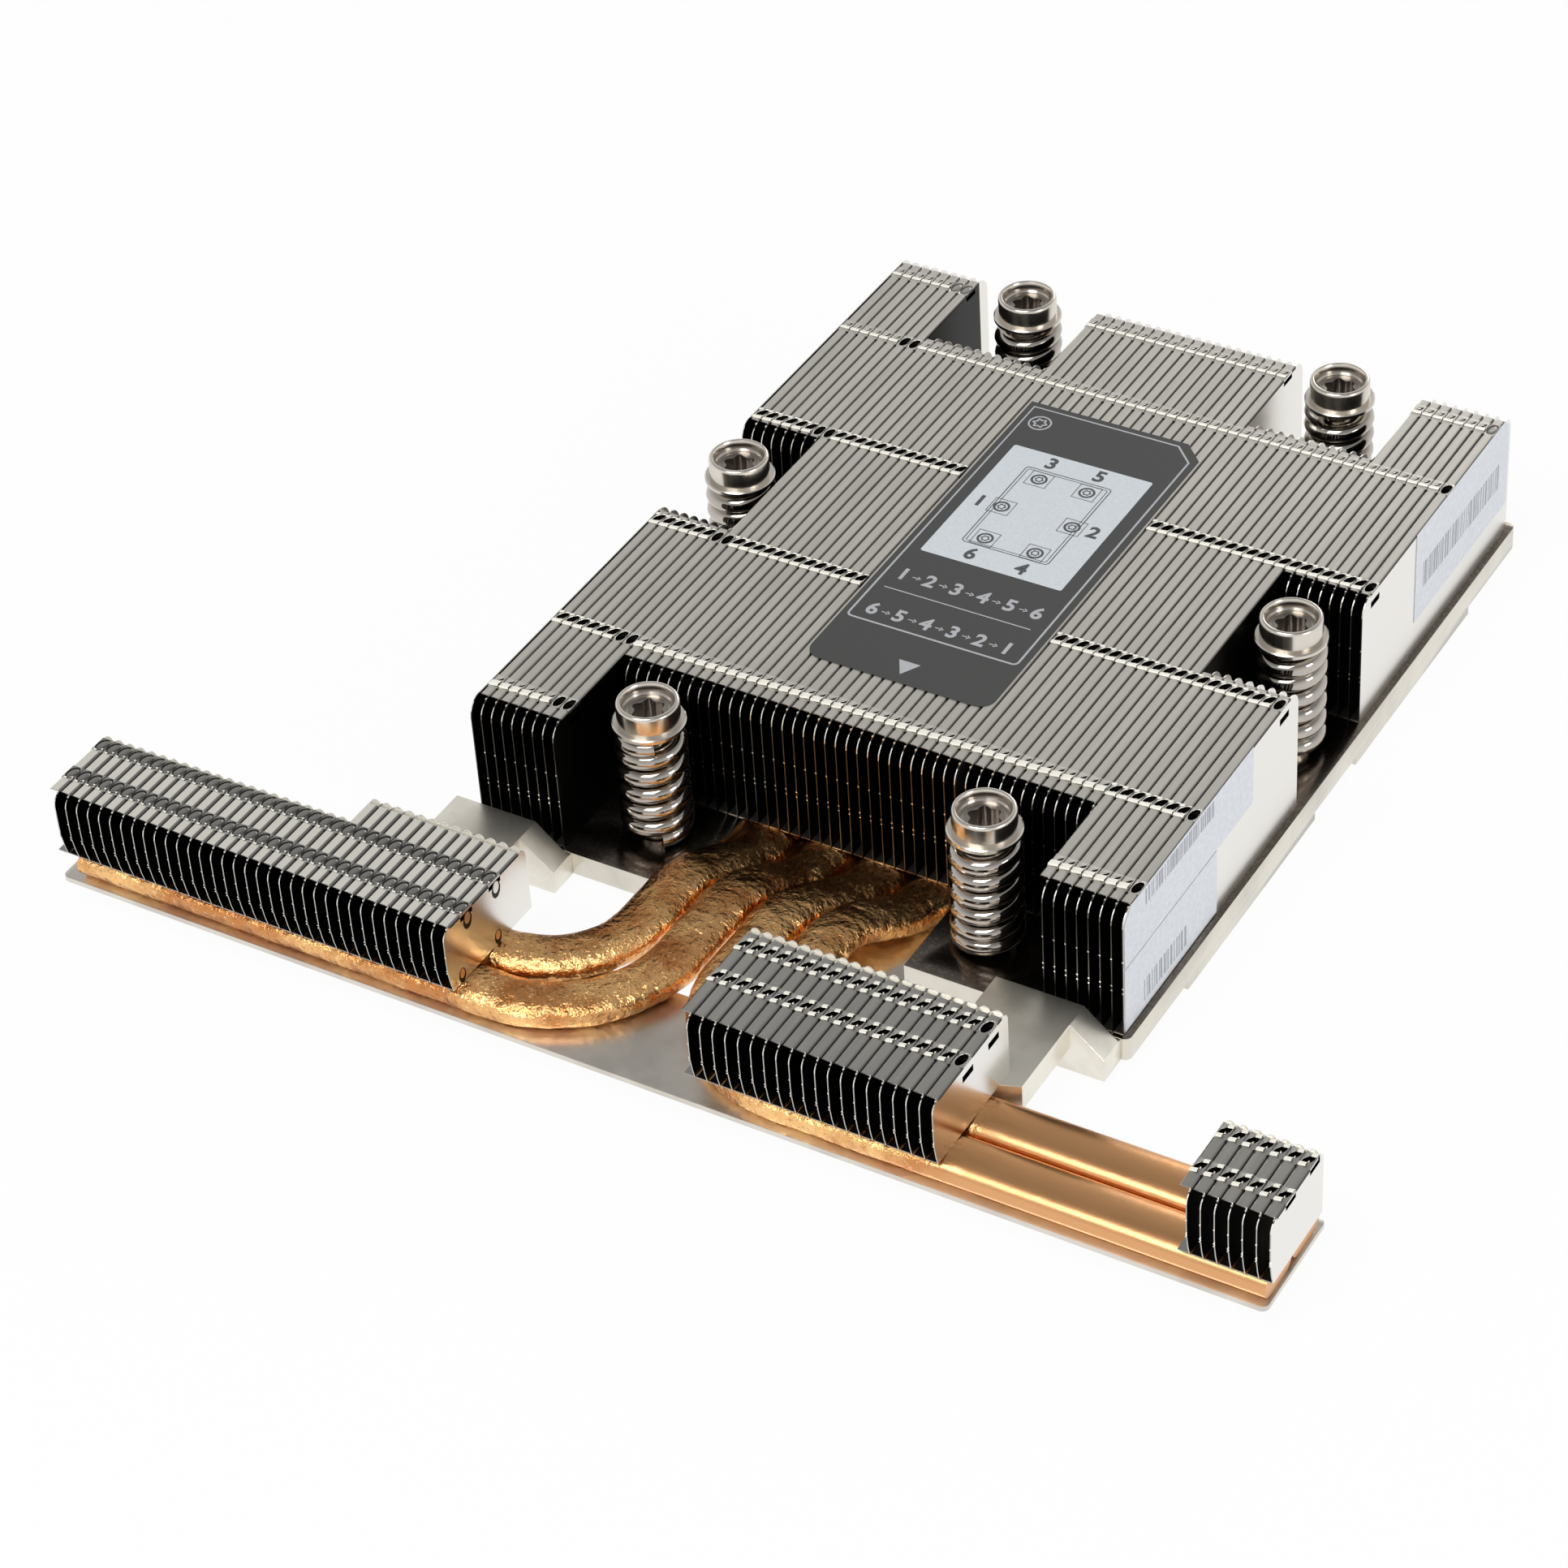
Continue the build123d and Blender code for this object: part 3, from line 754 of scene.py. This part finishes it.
def mainSpec(spec):
    rows = [(mainRows[letter.upper()], mainStyles[letter]) for letter in spec["rows"]]
    kinds = {"fin": {"rows": rows}}
    models = ["fin"] * spec["count"]
    if "covered" in spec:  # under the label only the rows outside it are cut
        covered = [(mainRows[letter], mainStyles[letter]) for letter in spec["covered"]]
        kinds["covered"] = {"rows": covered}
        models[1:-1] = ["covered"] * (len(models) - 2)
    if spec.get("plainFirst"):
        kinds["plain"] = {"rows": (), "folded": False}
        models[0] = "plain"
    if spec.get("end"):
        ends = [(y, "endGrey" if y > 50 else "end") for y, style in rows]
        kinds["last"] = {"rows": ends, "plate": "outer" in spec}
        models[-1] = "last"
    elif spec.get("plate"):
        kinds["last"] = {"rows": rows, "plate": True}
        models[-1] = "last"
    return models, kinds


def wingSpec(count, rows, endRows, notches):
    models = ["fin"] * count
    kinds = {"fin": {"rows": rows}}
    if endRows:
        models[-1] = "last"
        kinds["last"] = {"rows": endRows, "plate": True, "notches": notches}
    return models, kinds


def finRow(node, models, kinds, slot, seed, **form):
    low, high = span(node)
    wide = high[0] - low[0]
    if models[0] == "plain":
        pitch = (wide - solidFin["sheet"]) / (len(models) - 1)
    else:
        pitch = (wide + solidFin["gap"]) / len(models)
    size = dict(form, front=low[1], rear=high[1], bottom=low[2], top=high[2], pitch=pitch)
    store = bpy.data.collections.new(node + "_models")
    bpy.context.scene.collection.children.link(store)
    order = sorted(kinds)
    for index, kind in enumerate(order):
        store.objects.link(bpy.data.objects.new(f"{index:02d}_{node}", finMesh(kind, size, **kinds[kind])))
    points = bpy.data.meshes.new(node)
    first = high[0] - (len(models) - 1) * pitch
    points.from_pydata([((first + index * pitch) * mm, 0, 0) for index in range(len(models))], [], [])
    model = points.attributes.new("model", "INT", "POINT")
    model.data.foreach_set("value", [order.index(kind) for kind in models])
    values = {"Models": store, "Seed": seed, "Material": finishes[slot]}
    made = grown(node + "_dressed", rowGroup, values, points)
    for template in list(store.objects):
        bpy.data.objects.remove(template)
    bpy.data.collections.remove(store)
    return settle(made, node)


for seed, (node, spec) in enumerate(finRows.items()):
    finRow(node, *mainSpec(spec), "nickel_fin", seed, **mainForm)
for seed, (node, spec) in enumerate(wingRows.items()):
    finRow(node, *wingSpec(*spec), "wing_fin", 20 + seed, pale=0.6 if "left" in node else 0.0, **wingForm)
print("fins made")


# Anything that follows a path: heat pipes and springs
def pathTree():
    tree, given = newGroup("along a path", {
        "Path": "NodeSocketObject", "Section": "NodeSocketObject", "Dent": "NodeSocketFloat",
        "Dent size": "NodeSocketFloat", "Material": "NodeSocketMaterial",
    })
    path = tree.wire("GeometryNodeObjectInfo", {}, {"Object": given["Path"]}, output="Geometry")
    section = tree.wire("GeometryNodeObjectInfo", {}, {"Object": given["Section"]}, output="Geometry")
    level = tree.wire("GeometryNodeSetCurveNormal", {"mode": "Z_UP"}, {"Curve": path})
    tube = tree.wire("GeometryNodeCurveToMesh", {}, {
        "Curve": level, "Profile Curve": section, "Fill Caps": True})
    noise = tree.wire("ShaderNodeTexNoise", {}, {"Scale": given["Dent size"], "Detail": 2.0})
    normal = tree.wire("GeometryNodeInputNormal")
    place = tree.wire("GeometryNodeInputPosition")
    parts = tree.node("ShaderNodeSeparateXYZ", {}, {0: place})
    dented = 1.0 - Wire(tree, parts.outputs["X"]).between(*straighten["shape"])
    push = tree.wire("ShaderNodeVectorMath", {"operation": "SCALE"}, {
        0: normal, "Scale": (noise - 0.5) * given["Dent"] * dented})
    moved = tree.wire("GeometryNodeSetPosition", {}, {"Geometry": tube, "Offset": push})
    smooth = tree.wire("GeometryNodeSetShadeSmooth", {}, {"Geometry": moved})
    return finishGroup(tree, smooth, given["Material"])


def curveObject(name, points, closed=False):
    curve = bpy.data.curves.new(name, "CURVE")
    curve.dimensions = "3D"
    spline = curve.splines.new("POLY")
    spline.points.add(len(points) - 1)
    for target, point in zip(spline.points, points):
        target.co = (*(value * mm for value in point), 1.0)
    spline.use_cyclic_u = closed
    return piece(name, curve)


def alongPath(name, route, section, material, dent=0.0, dentSize=100.0):
    path = curveObject(name + "_path", route)
    profile = curveObject(name + "_section", section, True)
    made = grown(name, pathGroup, {
        "Path": path, "Section": profile, "Dent": dent * mm, "Dent size": dentSize, "Material": material})
    bpy.data.objects.remove(path)
    bpy.data.objects.remove(profile)
    return made


def roundedRoute(corners, radii, step):
    # straight runs joined by tangent arcs, as points a step apart
    points = [Vector(corners[0])]
    for before, corner, after, radius in zip(corners, corners[1:], corners[2:], radii):
        corner = Vector(corner)
        arrive = (corner - Vector(before)).normalized()
        leave = (Vector(after) - corner).normalized()
        turn = arrive.angle(leave)
        back = radius * math.tan(turn / 2)
        start = corner - arrive * back
        inward = (leave - arrive * arrive.dot(leave)).normalized()
        center = start + inward * radius
        pieces = max(3, round(radius * turn / step))
        runTo(points, start, step)
        for count in range(1, pieces + 1):
            angle = turn * count / pieces
            points.append(center - inward * radius * math.cos(angle) + arrive * radius * math.sin(angle))
    runTo(points, Vector(corners[-1]), step)
    return points


def runTo(points, end, step):
    start = points[-1]
    pieces = max(1, round((end - start).length / step))
    for count in range(1, pieces + 1):
        points.append(start.lerp(end, count / pieces))


pathGroup = pathTree()
pipes = {
    "width": 7.0, "height": 3.8, "basePitch": 8.0, "baseEnd": 44.0, "frontPitch": 7.4, "frontCentre": -4.35,
    "riseStart": -47.9, "riseEnd": -58.4, "riseRadius": 16.0, "step": 1.2, "dent": 0.5, "dentSize": 210.0,
    "sides": 36, "square": 0.8, "bars": {"rear": (-81.4, 12.9), "front": (-88.7, 16.5)},  # place, bend
    "ends": {"left": -86.0, "right": 80.6},
    "order": (("left", "rear"), ("left", "front"), ("right", "front"), ("right", "rear")),
}


def pipeSection():
    # flattened round tube with a low crown
    loop = []
    for turn in around(pipes["sides"]):
        across, up = math.cos(turn), math.sin(turn)
        loop.append((math.copysign(abs(across) ** pipes["square"], across) * pipes["width"] / 2,
                     math.copysign(abs(up) ** pipes["square"], up) * pipes["height"] / 2, 0))
    return loop


def heatPipe(node, place, barY, bend, barEnd):
    p = pipes
    low = baseTop - p["height"] / 2
    high = span("wing_plate")[1][2] + p["height"] / 2
    baseX = (place - 1.5) * p["basePitch"]
    frontX = p["frontCentre"] + (place - 1.5) * p["frontPitch"]
    corners = [(baseX, p["baseEnd"], low), (baseX, p["riseStart"], low), (frontX, p["riseEnd"], high),
               (frontX, barY, high), (barEnd, barY, high)]
    route = roundedRoute(corners, [p["riseRadius"], p["riseRadius"], bend], p["step"])
    made = alongPath(node + "_tube", route, pipeSection(), finishes["copper"], p["dent"], p["dentSize"])
    return settle(made, node)


for place, (side, bar) in enumerate(pipes["order"]):
    heatPipe(f"heat_pipe_{side}_{bar}", place, *pipes["bars"][bar], pipes["ends"][side])
print("heat pipes made")


# Captive screws, turned, with a six-lobe recess, and the springs under them
screws = {
    "sides": 72, "thread": 1.95, "groove": 1.6, "shank": 2.3, "collar": 4.8, "collarHigh": 0.7, "head": 4.1,
    "headHigh": 2.95, "bore": 3.3, "boreDeep": 1.5, "step": 2.55, "lobes": 6, "lobeMiddle": 2.0,
    "lobeWave": 0.27, "recessDeep": 1.8, "threadEnd": 0.3, "grooveLow": 2.3, "grooveHigh": 3.0,
}
springs = {   # wire and coil are radii
    "wire": 1.2, "coil": 3.58, "openCoils": 4, "closedRise": 2.0, "stepsPerTurn": 40, "endGap": 0.05,
    "turnEach": 0.9, "travel": 4.0,
}


def screwPlace(number):
    low, high = span(f"captive_screw_{number}")
    return (low[0] + high[0]) / 2, (low[1] + high[1]) / 2


def turned(shape, center, profile, sides, lobed, hollow):
    # surface of revolution, from the lower middle round to the upper middle
    loops = []
    for index, (radius, height) in enumerate(profile):
        wave = screws["lobeWave"] if index in lobed else 0.0
        ring = wavyRing(center, radius, wave, screws["lobes"], sides)
        loops.append([(x, y, height) for x, y in ring])
    shape.rings(loops, [{"hollow": amount} for amount in hollow], capStart=True)


def captiveScrew(number):
    s = screws
    top = screwTop
    seat = top - s["headHigh"]
    under = seat - s["collarHigh"]
    floor = top - s["boreDeep"]
    thread, groove, shank, collar = s["thread"], s["groove"], s["shank"], s["collar"]
    head, bore, lobe = s["head"], s["bore"], s["lobeMiddle"]
    profile = [
        (thread - 0.35, s["threadEnd"]), (thread, s["threadEnd"] + 0.35), (thread, s["grooveLow"]),
        (groove, s["grooveLow"]), (groove, s["grooveHigh"]), (shank, s["grooveHigh"]), (shank, under),
        (collar - 0.2, under), (collar - 0.03, under + 0.12), (collar - 0.03, seat - 0.14), (collar - 0.2, seat),
        (head, seat), (head, top - 0.5), (head - 0.06, top - 0.22), (head - 0.22, top - 0.05), (head - 0.4, top),
        (head - 0.58, top - 0.05), (head - 0.72, top - 0.25), (bore, top - 0.6), (bore, floor + 0.25),
        (bore - 0.2, floor), (s["step"], floor), (lobe, floor - 0.05), (lobe, floor - s["recessDeep"]),
    ]
    shape = Shape("hollow")
    last = len(profile) - 1
    # how much each band of the bore and recess is painted dark as shade
    hollow = [0.0] * (last - 6) + [0.35, 0.5, 0.6, 0.5, 0.9, 1.0, 1.0]
    turned(shape, screwPlace(number), profile, s["sides"], (last - 1, last), hollow)
    made = piece(f"screw_{number}_turned", shape.mesh("screw"), finishes["screw_steel"])
    crease(made, 38)
    return settle(made, f"captive_screw_{number}", f"screw_{number}")


def crease(made, degrees):
    # smooth shading broken at edges sharper than this
    work = opened(made.data)
    for edge in work.edges:
        if len(edge.link_faces) == 2 and edge.calc_face_angle(0) > math.radians(degrees):
            edge.smooth = False
    writeBack(work, made.data)


def screwSpring(number):
    s = springs
    x, y = screwPlace(number)
    low = baseTop + s["endGap"] + s["wire"]
    high = screwTop - screws["headHigh"] - screws["collarHigh"] - s["endGap"] - s["wire"]
    rise = (high - low - 2 * s["closedRise"]) / s["openCoils"]
    turns = [s["closedRise"]] + [rise] * s["openCoils"] + [s["closedRise"]]
    route = []
    height = low
    for lift in turns:
        for step in range(s["stepsPerTurn"]):
            route.append(height + lift * step / s["stepsPerTurn"])
        height += lift
    route.append(high)
    points = []
    for step, level in enumerate(route):
        angle = 2 * math.pi * step / s["stepsPerTurn"] + s["turnEach"] * number
        points.append((x + s["coil"] * math.cos(angle), y + s["coil"] * math.sin(angle), level))
    section = [(s["wire"] * math.cos(math.radians(turn)), s["wire"] * math.sin(math.radians(turn)), 0)
               for turn in range(0, 360, 30)]
    made = alongPath(f"spring_{number}_coil", points, section, finishes["spring_steel"])
    settle(made, f"spring_{number}")
    tall = high - low + 2 * s["wire"]
    x * mm
    y * mm
    (tall - s["travel"]) / tall
    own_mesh(made)
    return made


for number in range(1, 7):
    captiveScrew(number)
    screwSpring(number)
    clip = frame["nodes"][f"retaining_clip_{number}"]
    clip.data.materials.clear()
    clip.data.materials.append(finishes["clip_steel"])
print("screws and springs made")


# Plates and arms: the solids themselves, merged, with softened edges
shadedTop = {"behind": 0.4, "above": 1.6}  # where the base's top is painted dark: painted shade and reflection of the fins


def softened(node, width, slot, paintTopShade=False):
    source = frame["nodes"][node].data.copy()
    work = opened(source, solidWeld)
    bmesh.ops.dissolve_limit(work, angle_limit=math.radians(1), verts=work.verts, edges=work.edges)
    writeBack(work, source)
    made = piece(node + "_dressed", source, finishes[slot])
    bevel = made.modifiers.new("soft edges", "BEVEL")
    bevel.width = width * mm
    bevel.segments = 2
    bevel.limit_method = "ANGLE"
    bevel.angle_limit = math.radians(30)
    bevel.harden_normals = False
    evaluated(made)
    mesh = made.data
    mesh.polygons.foreach_set("use_smooth", [True] * len(mesh.polygons))
    crease(made, 32)
    # the base's upward faces inside its rim are marked for the painted shade and reflection
    stain = mesh.attributes.new("stain", "FLOAT", "FACE")
    for face in mesh.polygons:
        upward = face.normal.z > 0.8 and paintTopShade
        inside = face.center.y > (baseLow[1] + shadedTop["behind"]) * mm and face.center.z > shadedTop["above"] * mm
        stain.data[face.index].value = 1.0 if upward and inside else 0.0
    return settle(made, node)


softened("base_plate", 0.22, "nickel_base", paintTopShade=True)
softened("wing_plate", 0.12, "plain_sheet")
softened("left_arm", 0.25, "blasted_arm")
softened("right_arm", 0.25, "blasted_arm")
print("plates made")


# Label and stickers: film with raised flat print
label = {
    "charcoal": (0.048, 0.048, 0.047), "grey": (0.46, 0.47, 0.49), "panel": (0.67, 0.71, 0.745),
    "dark": (0.07, 0.075, 0.08), "print": 0.02, "cut": 3.0, "round": 2.2, "line": 0.3, "thin": 0.13,
    "frame": (-12.4, -22.0, 12.5, 30.2), "frameRound": 0.8, "panelBox": (-10.5, -5.5, 10.2, 21.0),
    "plateBox": (-6.7, -1.4, 6.1, 17.3), "plateLine": 0.45, "square": 1.6, "digit": 3.3,
    # the screws of the diagram: number, place, and the number's own place
    "screws": (
        ("3", (-3.8, 15.2), (-3.9, 19.0)), ("5", (3.3, 15.2), (3.2, 19.1)), ("1", (-5.4, 7.6), (-8.6, 7.5)),
        ("2", (5.1, 7.5), (8.2, 7.5)), ("6", (-4.0, 0.4), (-4.1, -3.5)), ("4", (3.4, 0.3), (3.4, -3.6)),
    ),
    "rows": (("123456", -11.2), ("654321", -19.4)), "rowStart": -9.8, "rowStep": 3.9, "divider": -14.5,
    "dividerEnds": (-10.8, 10.5), "dividerHalf": 0.09,
    "arrow": ((-1.55, -27.2), (1.55, -27.2), (0.0, -29.9)), "icon": (-9.8, 26.9),
}
paper = {
    "white": (0.80, 0.83, 0.88), "bar": (0.40, 0.42, 0.46), "barWides": (0.16, 0.16, 0.3, 0.45),
    "barGaps": (0.2, 0.3, 0.5), "underPrint": 0.02,
}
lineEnd = {"half": 0.08, "stop": 0.3, "long": 0.55, "wide": 0.42}  # a line and the head of its arrow


def onTop(u, v, height):
    return (u, v, height)


def flatMark(shape, outline, level, ink, toWorld=onTop, thick=0.05):
    points = [toWorld(u, v, level - thick) for u, v in outline]
    push = Vector(toWorld(0, 0, level)) - Vector(toWorld(0, 0, level - thick))
    shape.prism(points, push, ink=ink)


def roundedBox(box, radius, sides=4):
    left, front, right, rear = box
    points = []
    for x, y, start in ((right, rear, 0), (left, rear, 90), (left, front, 180), (right, front, 270)):
        center = (x + (radius if x == left else -radius), y + (radius if y == front else -radius))
        points += cornerArc(center, radius, start, start + 90, sides)
    return points


def lineLoop(shape, points, wide, level, ink):
    # a closed line of even width
    center = Vector((sum(x for x, y in points), sum(y for x, y in points))) / len(points)
    inner = []
    count = len(points)
    for index, point in enumerate(points):
        before = Vector(points[index - 1])
        here = Vector(point)
        after = Vector(points[(index + 1) % count])
        first = (here - before).normalized()
        second = (after - here).normalized()
        bisector = Vector((-(first.y + second.y), first.x + second.x)).normalized()
        if bisector.dot(center - here) < 0:
            bisector.negate()
        inner.append(here + bisector * wide)
    for index in range(count):
        after = (index + 1) % count
        flatMark(shape, [points[index], points[after], inner[after], inner[index]], level, ink)


def ringMark(shape, center, radius, wide, level, ink, wave=0.0, sides=24):
    lineLoop(shape, wavyRing(center, radius, wave, screws["lobes"], sides), wide, level, ink)


def textMark(shape, words, place, size, level, ink):
    curve = bpy.data.curves.new("text", "FONT")
    curve.body = words
    curve.size = size
    curve.align_x = "CENTER"
    curve.align_y = "CENTER"
    curve.extrude = label["print"]
    curve.offset = 0.03 * size
    curve.resolution_u = 3
    made = piece("text", curve)
    mesh = finishedMesh(made)
    points = [(place[0] + vertex.co.x, place[1] + vertex.co.y, level - label["print"] + vertex.co.z)
              for vertex in mesh.vertices]
    shape.add(points, [tuple(face.vertices) for face in mesh.polygons], ink=ink)
    bpy.data.objects.remove(made)


def lineArrow(shape, start, end, y, level, ink):
    e = lineEnd
    flatMark(shape, rectangle(start, y - e["half"], end - e["stop"], y + e["half"]), level, ink)
    flatMark(shape, [(end - e["long"], y - e["wide"]), (end, y), (end - e["long"], y + e["wide"])], level, ink)


def labelOutline(box, bend, sides):
    # round at the front corners, cut off at the rear right, square at the rear left
    left, front, right, rear = box
    cut = label["cut"]
    outline = cornerArc((left + bend, front + bend), bend, 180, 270, sides)
    outline += cornerArc((right - bend, front + bend), bend, 270, 360, sides)
    return outline + [(right, rear - cut), (right - cut, rear), (left, rear)]


def topLabel():
    low, high = span("top_label")
    left, front, bottom = low
    right, rear, top = high
    grey, dark, thin = label["grey"], label["dark"], label["thin"]
    shape = Shape("ink")
    outline = labelOutline((left, front, right, rear), label["round"], 5)
    flatMark(shape, outline, top, label["charcoal"], thick=top - bottom)
    mark = top + label["print"]
    lineLoop(shape, labelOutline(label["frame"], label["frameRound"], 3), label["line"], mark, grey)
    flatMark(shape, roundedBox(label["panelBox"], 0.3, 2), mark, label["panel"])
    upper = mark + label["print"]
    box, gap, half = label["plateBox"], label["plateLine"], label["square"]
    lineLoop(shape, roundedBox(box, 0.6), thin, upper, dark)
    inner = (box[0] + gap, box[1] + gap, box[2] - gap, box[3] - gap)
    lineLoop(shape, roundedBox(inner, 0.2, 1), thin * 0.8, upper, dark)
    for number, (x, y), spot in label["screws"]:
        lineLoop(shape, rectangle(x - half, y - half, x + half, y + half), thin, upper, dark)
        ringMark(shape, (x, y), 1.15, 0.32, upper + 0.005, dark)
        ringMark(shape, (x, y), 0.56, 0.16, upper + 0.005, dark, 0.1)
        textMark(shape, number, spot, label["digit"], upper, dark)
    for digits, y in label["rows"]:
        for index, digit in enumerate(digits):
            x = label["rowStart"] + index * label["rowStep"]
            textMark(shape, digit, (x, y), label["digit"], mark, grey)
            if index < len(digits) - 1:
                lineArrow(shape, x + 1.35, x + label["rowStep"] - 1.3, y, mark, grey)
    divider, half = label["divider"], label["dividerHalf"]
    start, end = label["dividerEnds"]
    flatMark(shape, rectangle(start, divider - half, end, divider + half), mark, grey)
    flatMark(shape, label["arrow"], mark, grey)
    ringMark(shape, label["icon"], 1.65, 0.26, mark, grey)
    ringMark(shape, label["icon"], 0.95, 0.26, mark, grey, 0.2)
    made = piece("label_sheet", shape.mesh("label", 0), finishes["label_film"])
    return settle(made, "top_label")


def sideSticker(node, bars, seed):
    low, high = span(node)
    shape = Shape("ink")
    face = high[0] - paper["underPrint"]

    def onSide(u, v, height):
        return (height, u, v)

    work = opened(frame["nodes"][node].data, solidWeld)
    points = [vertex.co / mm for vertex in work.verts]
    points = [(min(point.x, face), point.y, point.z) for point in points]
    faces = [[vertex.index for vertex in polygon.verts] for polygon in work.faces]
    shape.add(points, faces, ink=paper["white"])
    work.free()
    draw = random.Random(seed)
    (start, bottom), (end, top) = bars
    y = start
    while y < end:
        wide = draw.choice(paper["barWides"])
        flatMark(shape, rectangle(y, bottom, y + wide, top), high[0], paper["bar"], onSide)
        y += wide + draw.choice(paper["barGaps"])
    made = piece(node + "_print", shape.mesh(node, 0), finishes["sticker_paper"])
    return settle(made, node)


topLabel()
sideSticker("side_sticker_front", ((-53.5, 6.4), (-42.5, 9.6)), 3)
sideSticker("side_sticker_middle", ((-53.0, 21.2), (-34.5, 23.6)), 5)
sideSticker("side_sticker_rear", ((28.0, 14.0), (52.5, 18.0)), 8)
print("label and stickers made")


# Studio: pale floor, even sky, three soft lamps and the camera
studio = {
    "floorSize": 6.0, "floorColor": (0.85, 0.85, 0.85), "glow": 0.95,
    "sky": ((0.0, 1.0), (0.3, 0.8), (0.5, 0.68), (0.7, 0.4), (1.0, 0.28)),  # height and its grey
    "lamps": {   # place, size, power
        "key": ((-0.05, -0.60, 0.90), 0.55, 6.0),
        "side": ((0.80, -0.15, 0.40), 0.25, 1.4),
        "back": ((-0.10, 0.85, 0.35), 0.30, 0.8),
    },
}
camera = {
    "place": (234.124, -424.155, 378.169), "aim": (-18.18, -30.29, 0.0), "roll": -4.028, "lens": 105.45,
    "sensor": 36, "near": 0.05,
}


def seenDirectly(tree):
    # 1 for camera, glossy and transmission rays
    path = tree.node("ShaderNodeLightPath")
    names = ("Is Camera Ray", "Is Glossy Ray", "Is Transmission Ray")
    rays = [Wire(tree, path.outputs[name]) for name in names]
    return (rays[0] + rays[1] + rays[2]).clamp()


def makeFloor():
    half = studio["floorSize"] / 2
    mesh = bpy.data.meshes.new("floor")
    corners = [(x, y, 0) for x, y in rectangle(-half, -half, half, half)]
    mesh.from_pydata(corners, [], [(0, 1, 2, 3)])
    material = bpy.data.materials.new("floor")
    material.use_nodes = True
    tree = Tree(material.node_tree)
    material.node_tree.nodes.clear()
    matte = tree.wire("ShaderNodeBsdfDiffuse", {}, {"Color": (*studio["floorColor"], 1.0)})
    glow = tree.wire("ShaderNodeEmission", {}, {"Color": (1, 1, 1, 1), "Strength": 1.0})
    share = seenDirectly(tree) * studio["glow"]
    both = tree.wire("ShaderNodeMixShader", {}, {0: share, 1: matte, 2: glow})
    tree.node("ShaderNodeOutputMaterial", {}, {"Surface": both})
    floor = piece("floor", mesh, material)


def makeSky():
    world = bpy.data.worlds.new("sky")
    bpy.context.scene.world = world
    world.use_nodes = True
    tree = Tree(world.node_tree)
    world.node_tree.nodes.clear()
    way = tree.wire("ShaderNodeTexCoord", output="Generated")
    parts = tree.node("ShaderNodeSeparateXYZ", {}, {0: way})
    up = Wire(tree, parts.outputs["Z"])
    stops = [(height, (grey, grey, grey)) for height, grey in studio["sky"]]
    shade = tree.wire("ShaderNodeValToRGB", {"stops": stops}, {0: up})
    path = tree.node("ShaderNodeLightPath")
    seen = Wire(tree, path.outputs["Is Camera Ray"])
    color = tree.wire("ShaderNodeMix", {"data_type": "RGBA"}, {0: seen, 6: shade, 7: (1, 1, 1, 1)}, output=2)
    back = tree.wire("ShaderNodeBackground", {}, {"Color": color, "Strength": 1.0})
    tree.node("ShaderNodeOutputWorld", {}, {"Surface": back})


def makeLamps():
    for name, (place, size, power) in studio["lamps"].items():
        lamp = bpy.data.lights.new(name, "AREA")
        lamp.size = size
        lamp.energy = power
        made = piece(name, lamp)
        made.location = place
        made.rotation_euler = (-Vector(place)).to_track_quat("-Z", "Y").to_euler()


def makeCamera():
    lens = bpy.data.cameras.new("camera")
    lens.lens = camera["lens"]
    lens.sensor_width = camera["sensor"]
    lens.clip_start = camera["near"]
    made = piece("camera", lens)
    place = Vector(camera["place"]) * mm
    look = Vector(camera["aim"]) * mm - place
    turn = look.to_track_quat("-Z", "Y").to_matrix().to_4x4()
    turn.translation = place
    axis = turn.copy().to_3x3() @ Vector((0, 0, 1))
    made.matrix_world = turn
    made.rotation_mode = "QUATERNION"
    made.rotation_quaternion = Quaternion(axis, math.radians(camera["roll"])) @ turn.to_quaternion()
    made.location = place
    bpy.context.scene.camera = made


makeFloor()
makeSky()
makeLamps()
makeCamera()
bpy.context.scene.view_settings.view_transform = "Standard"
print("studio made")
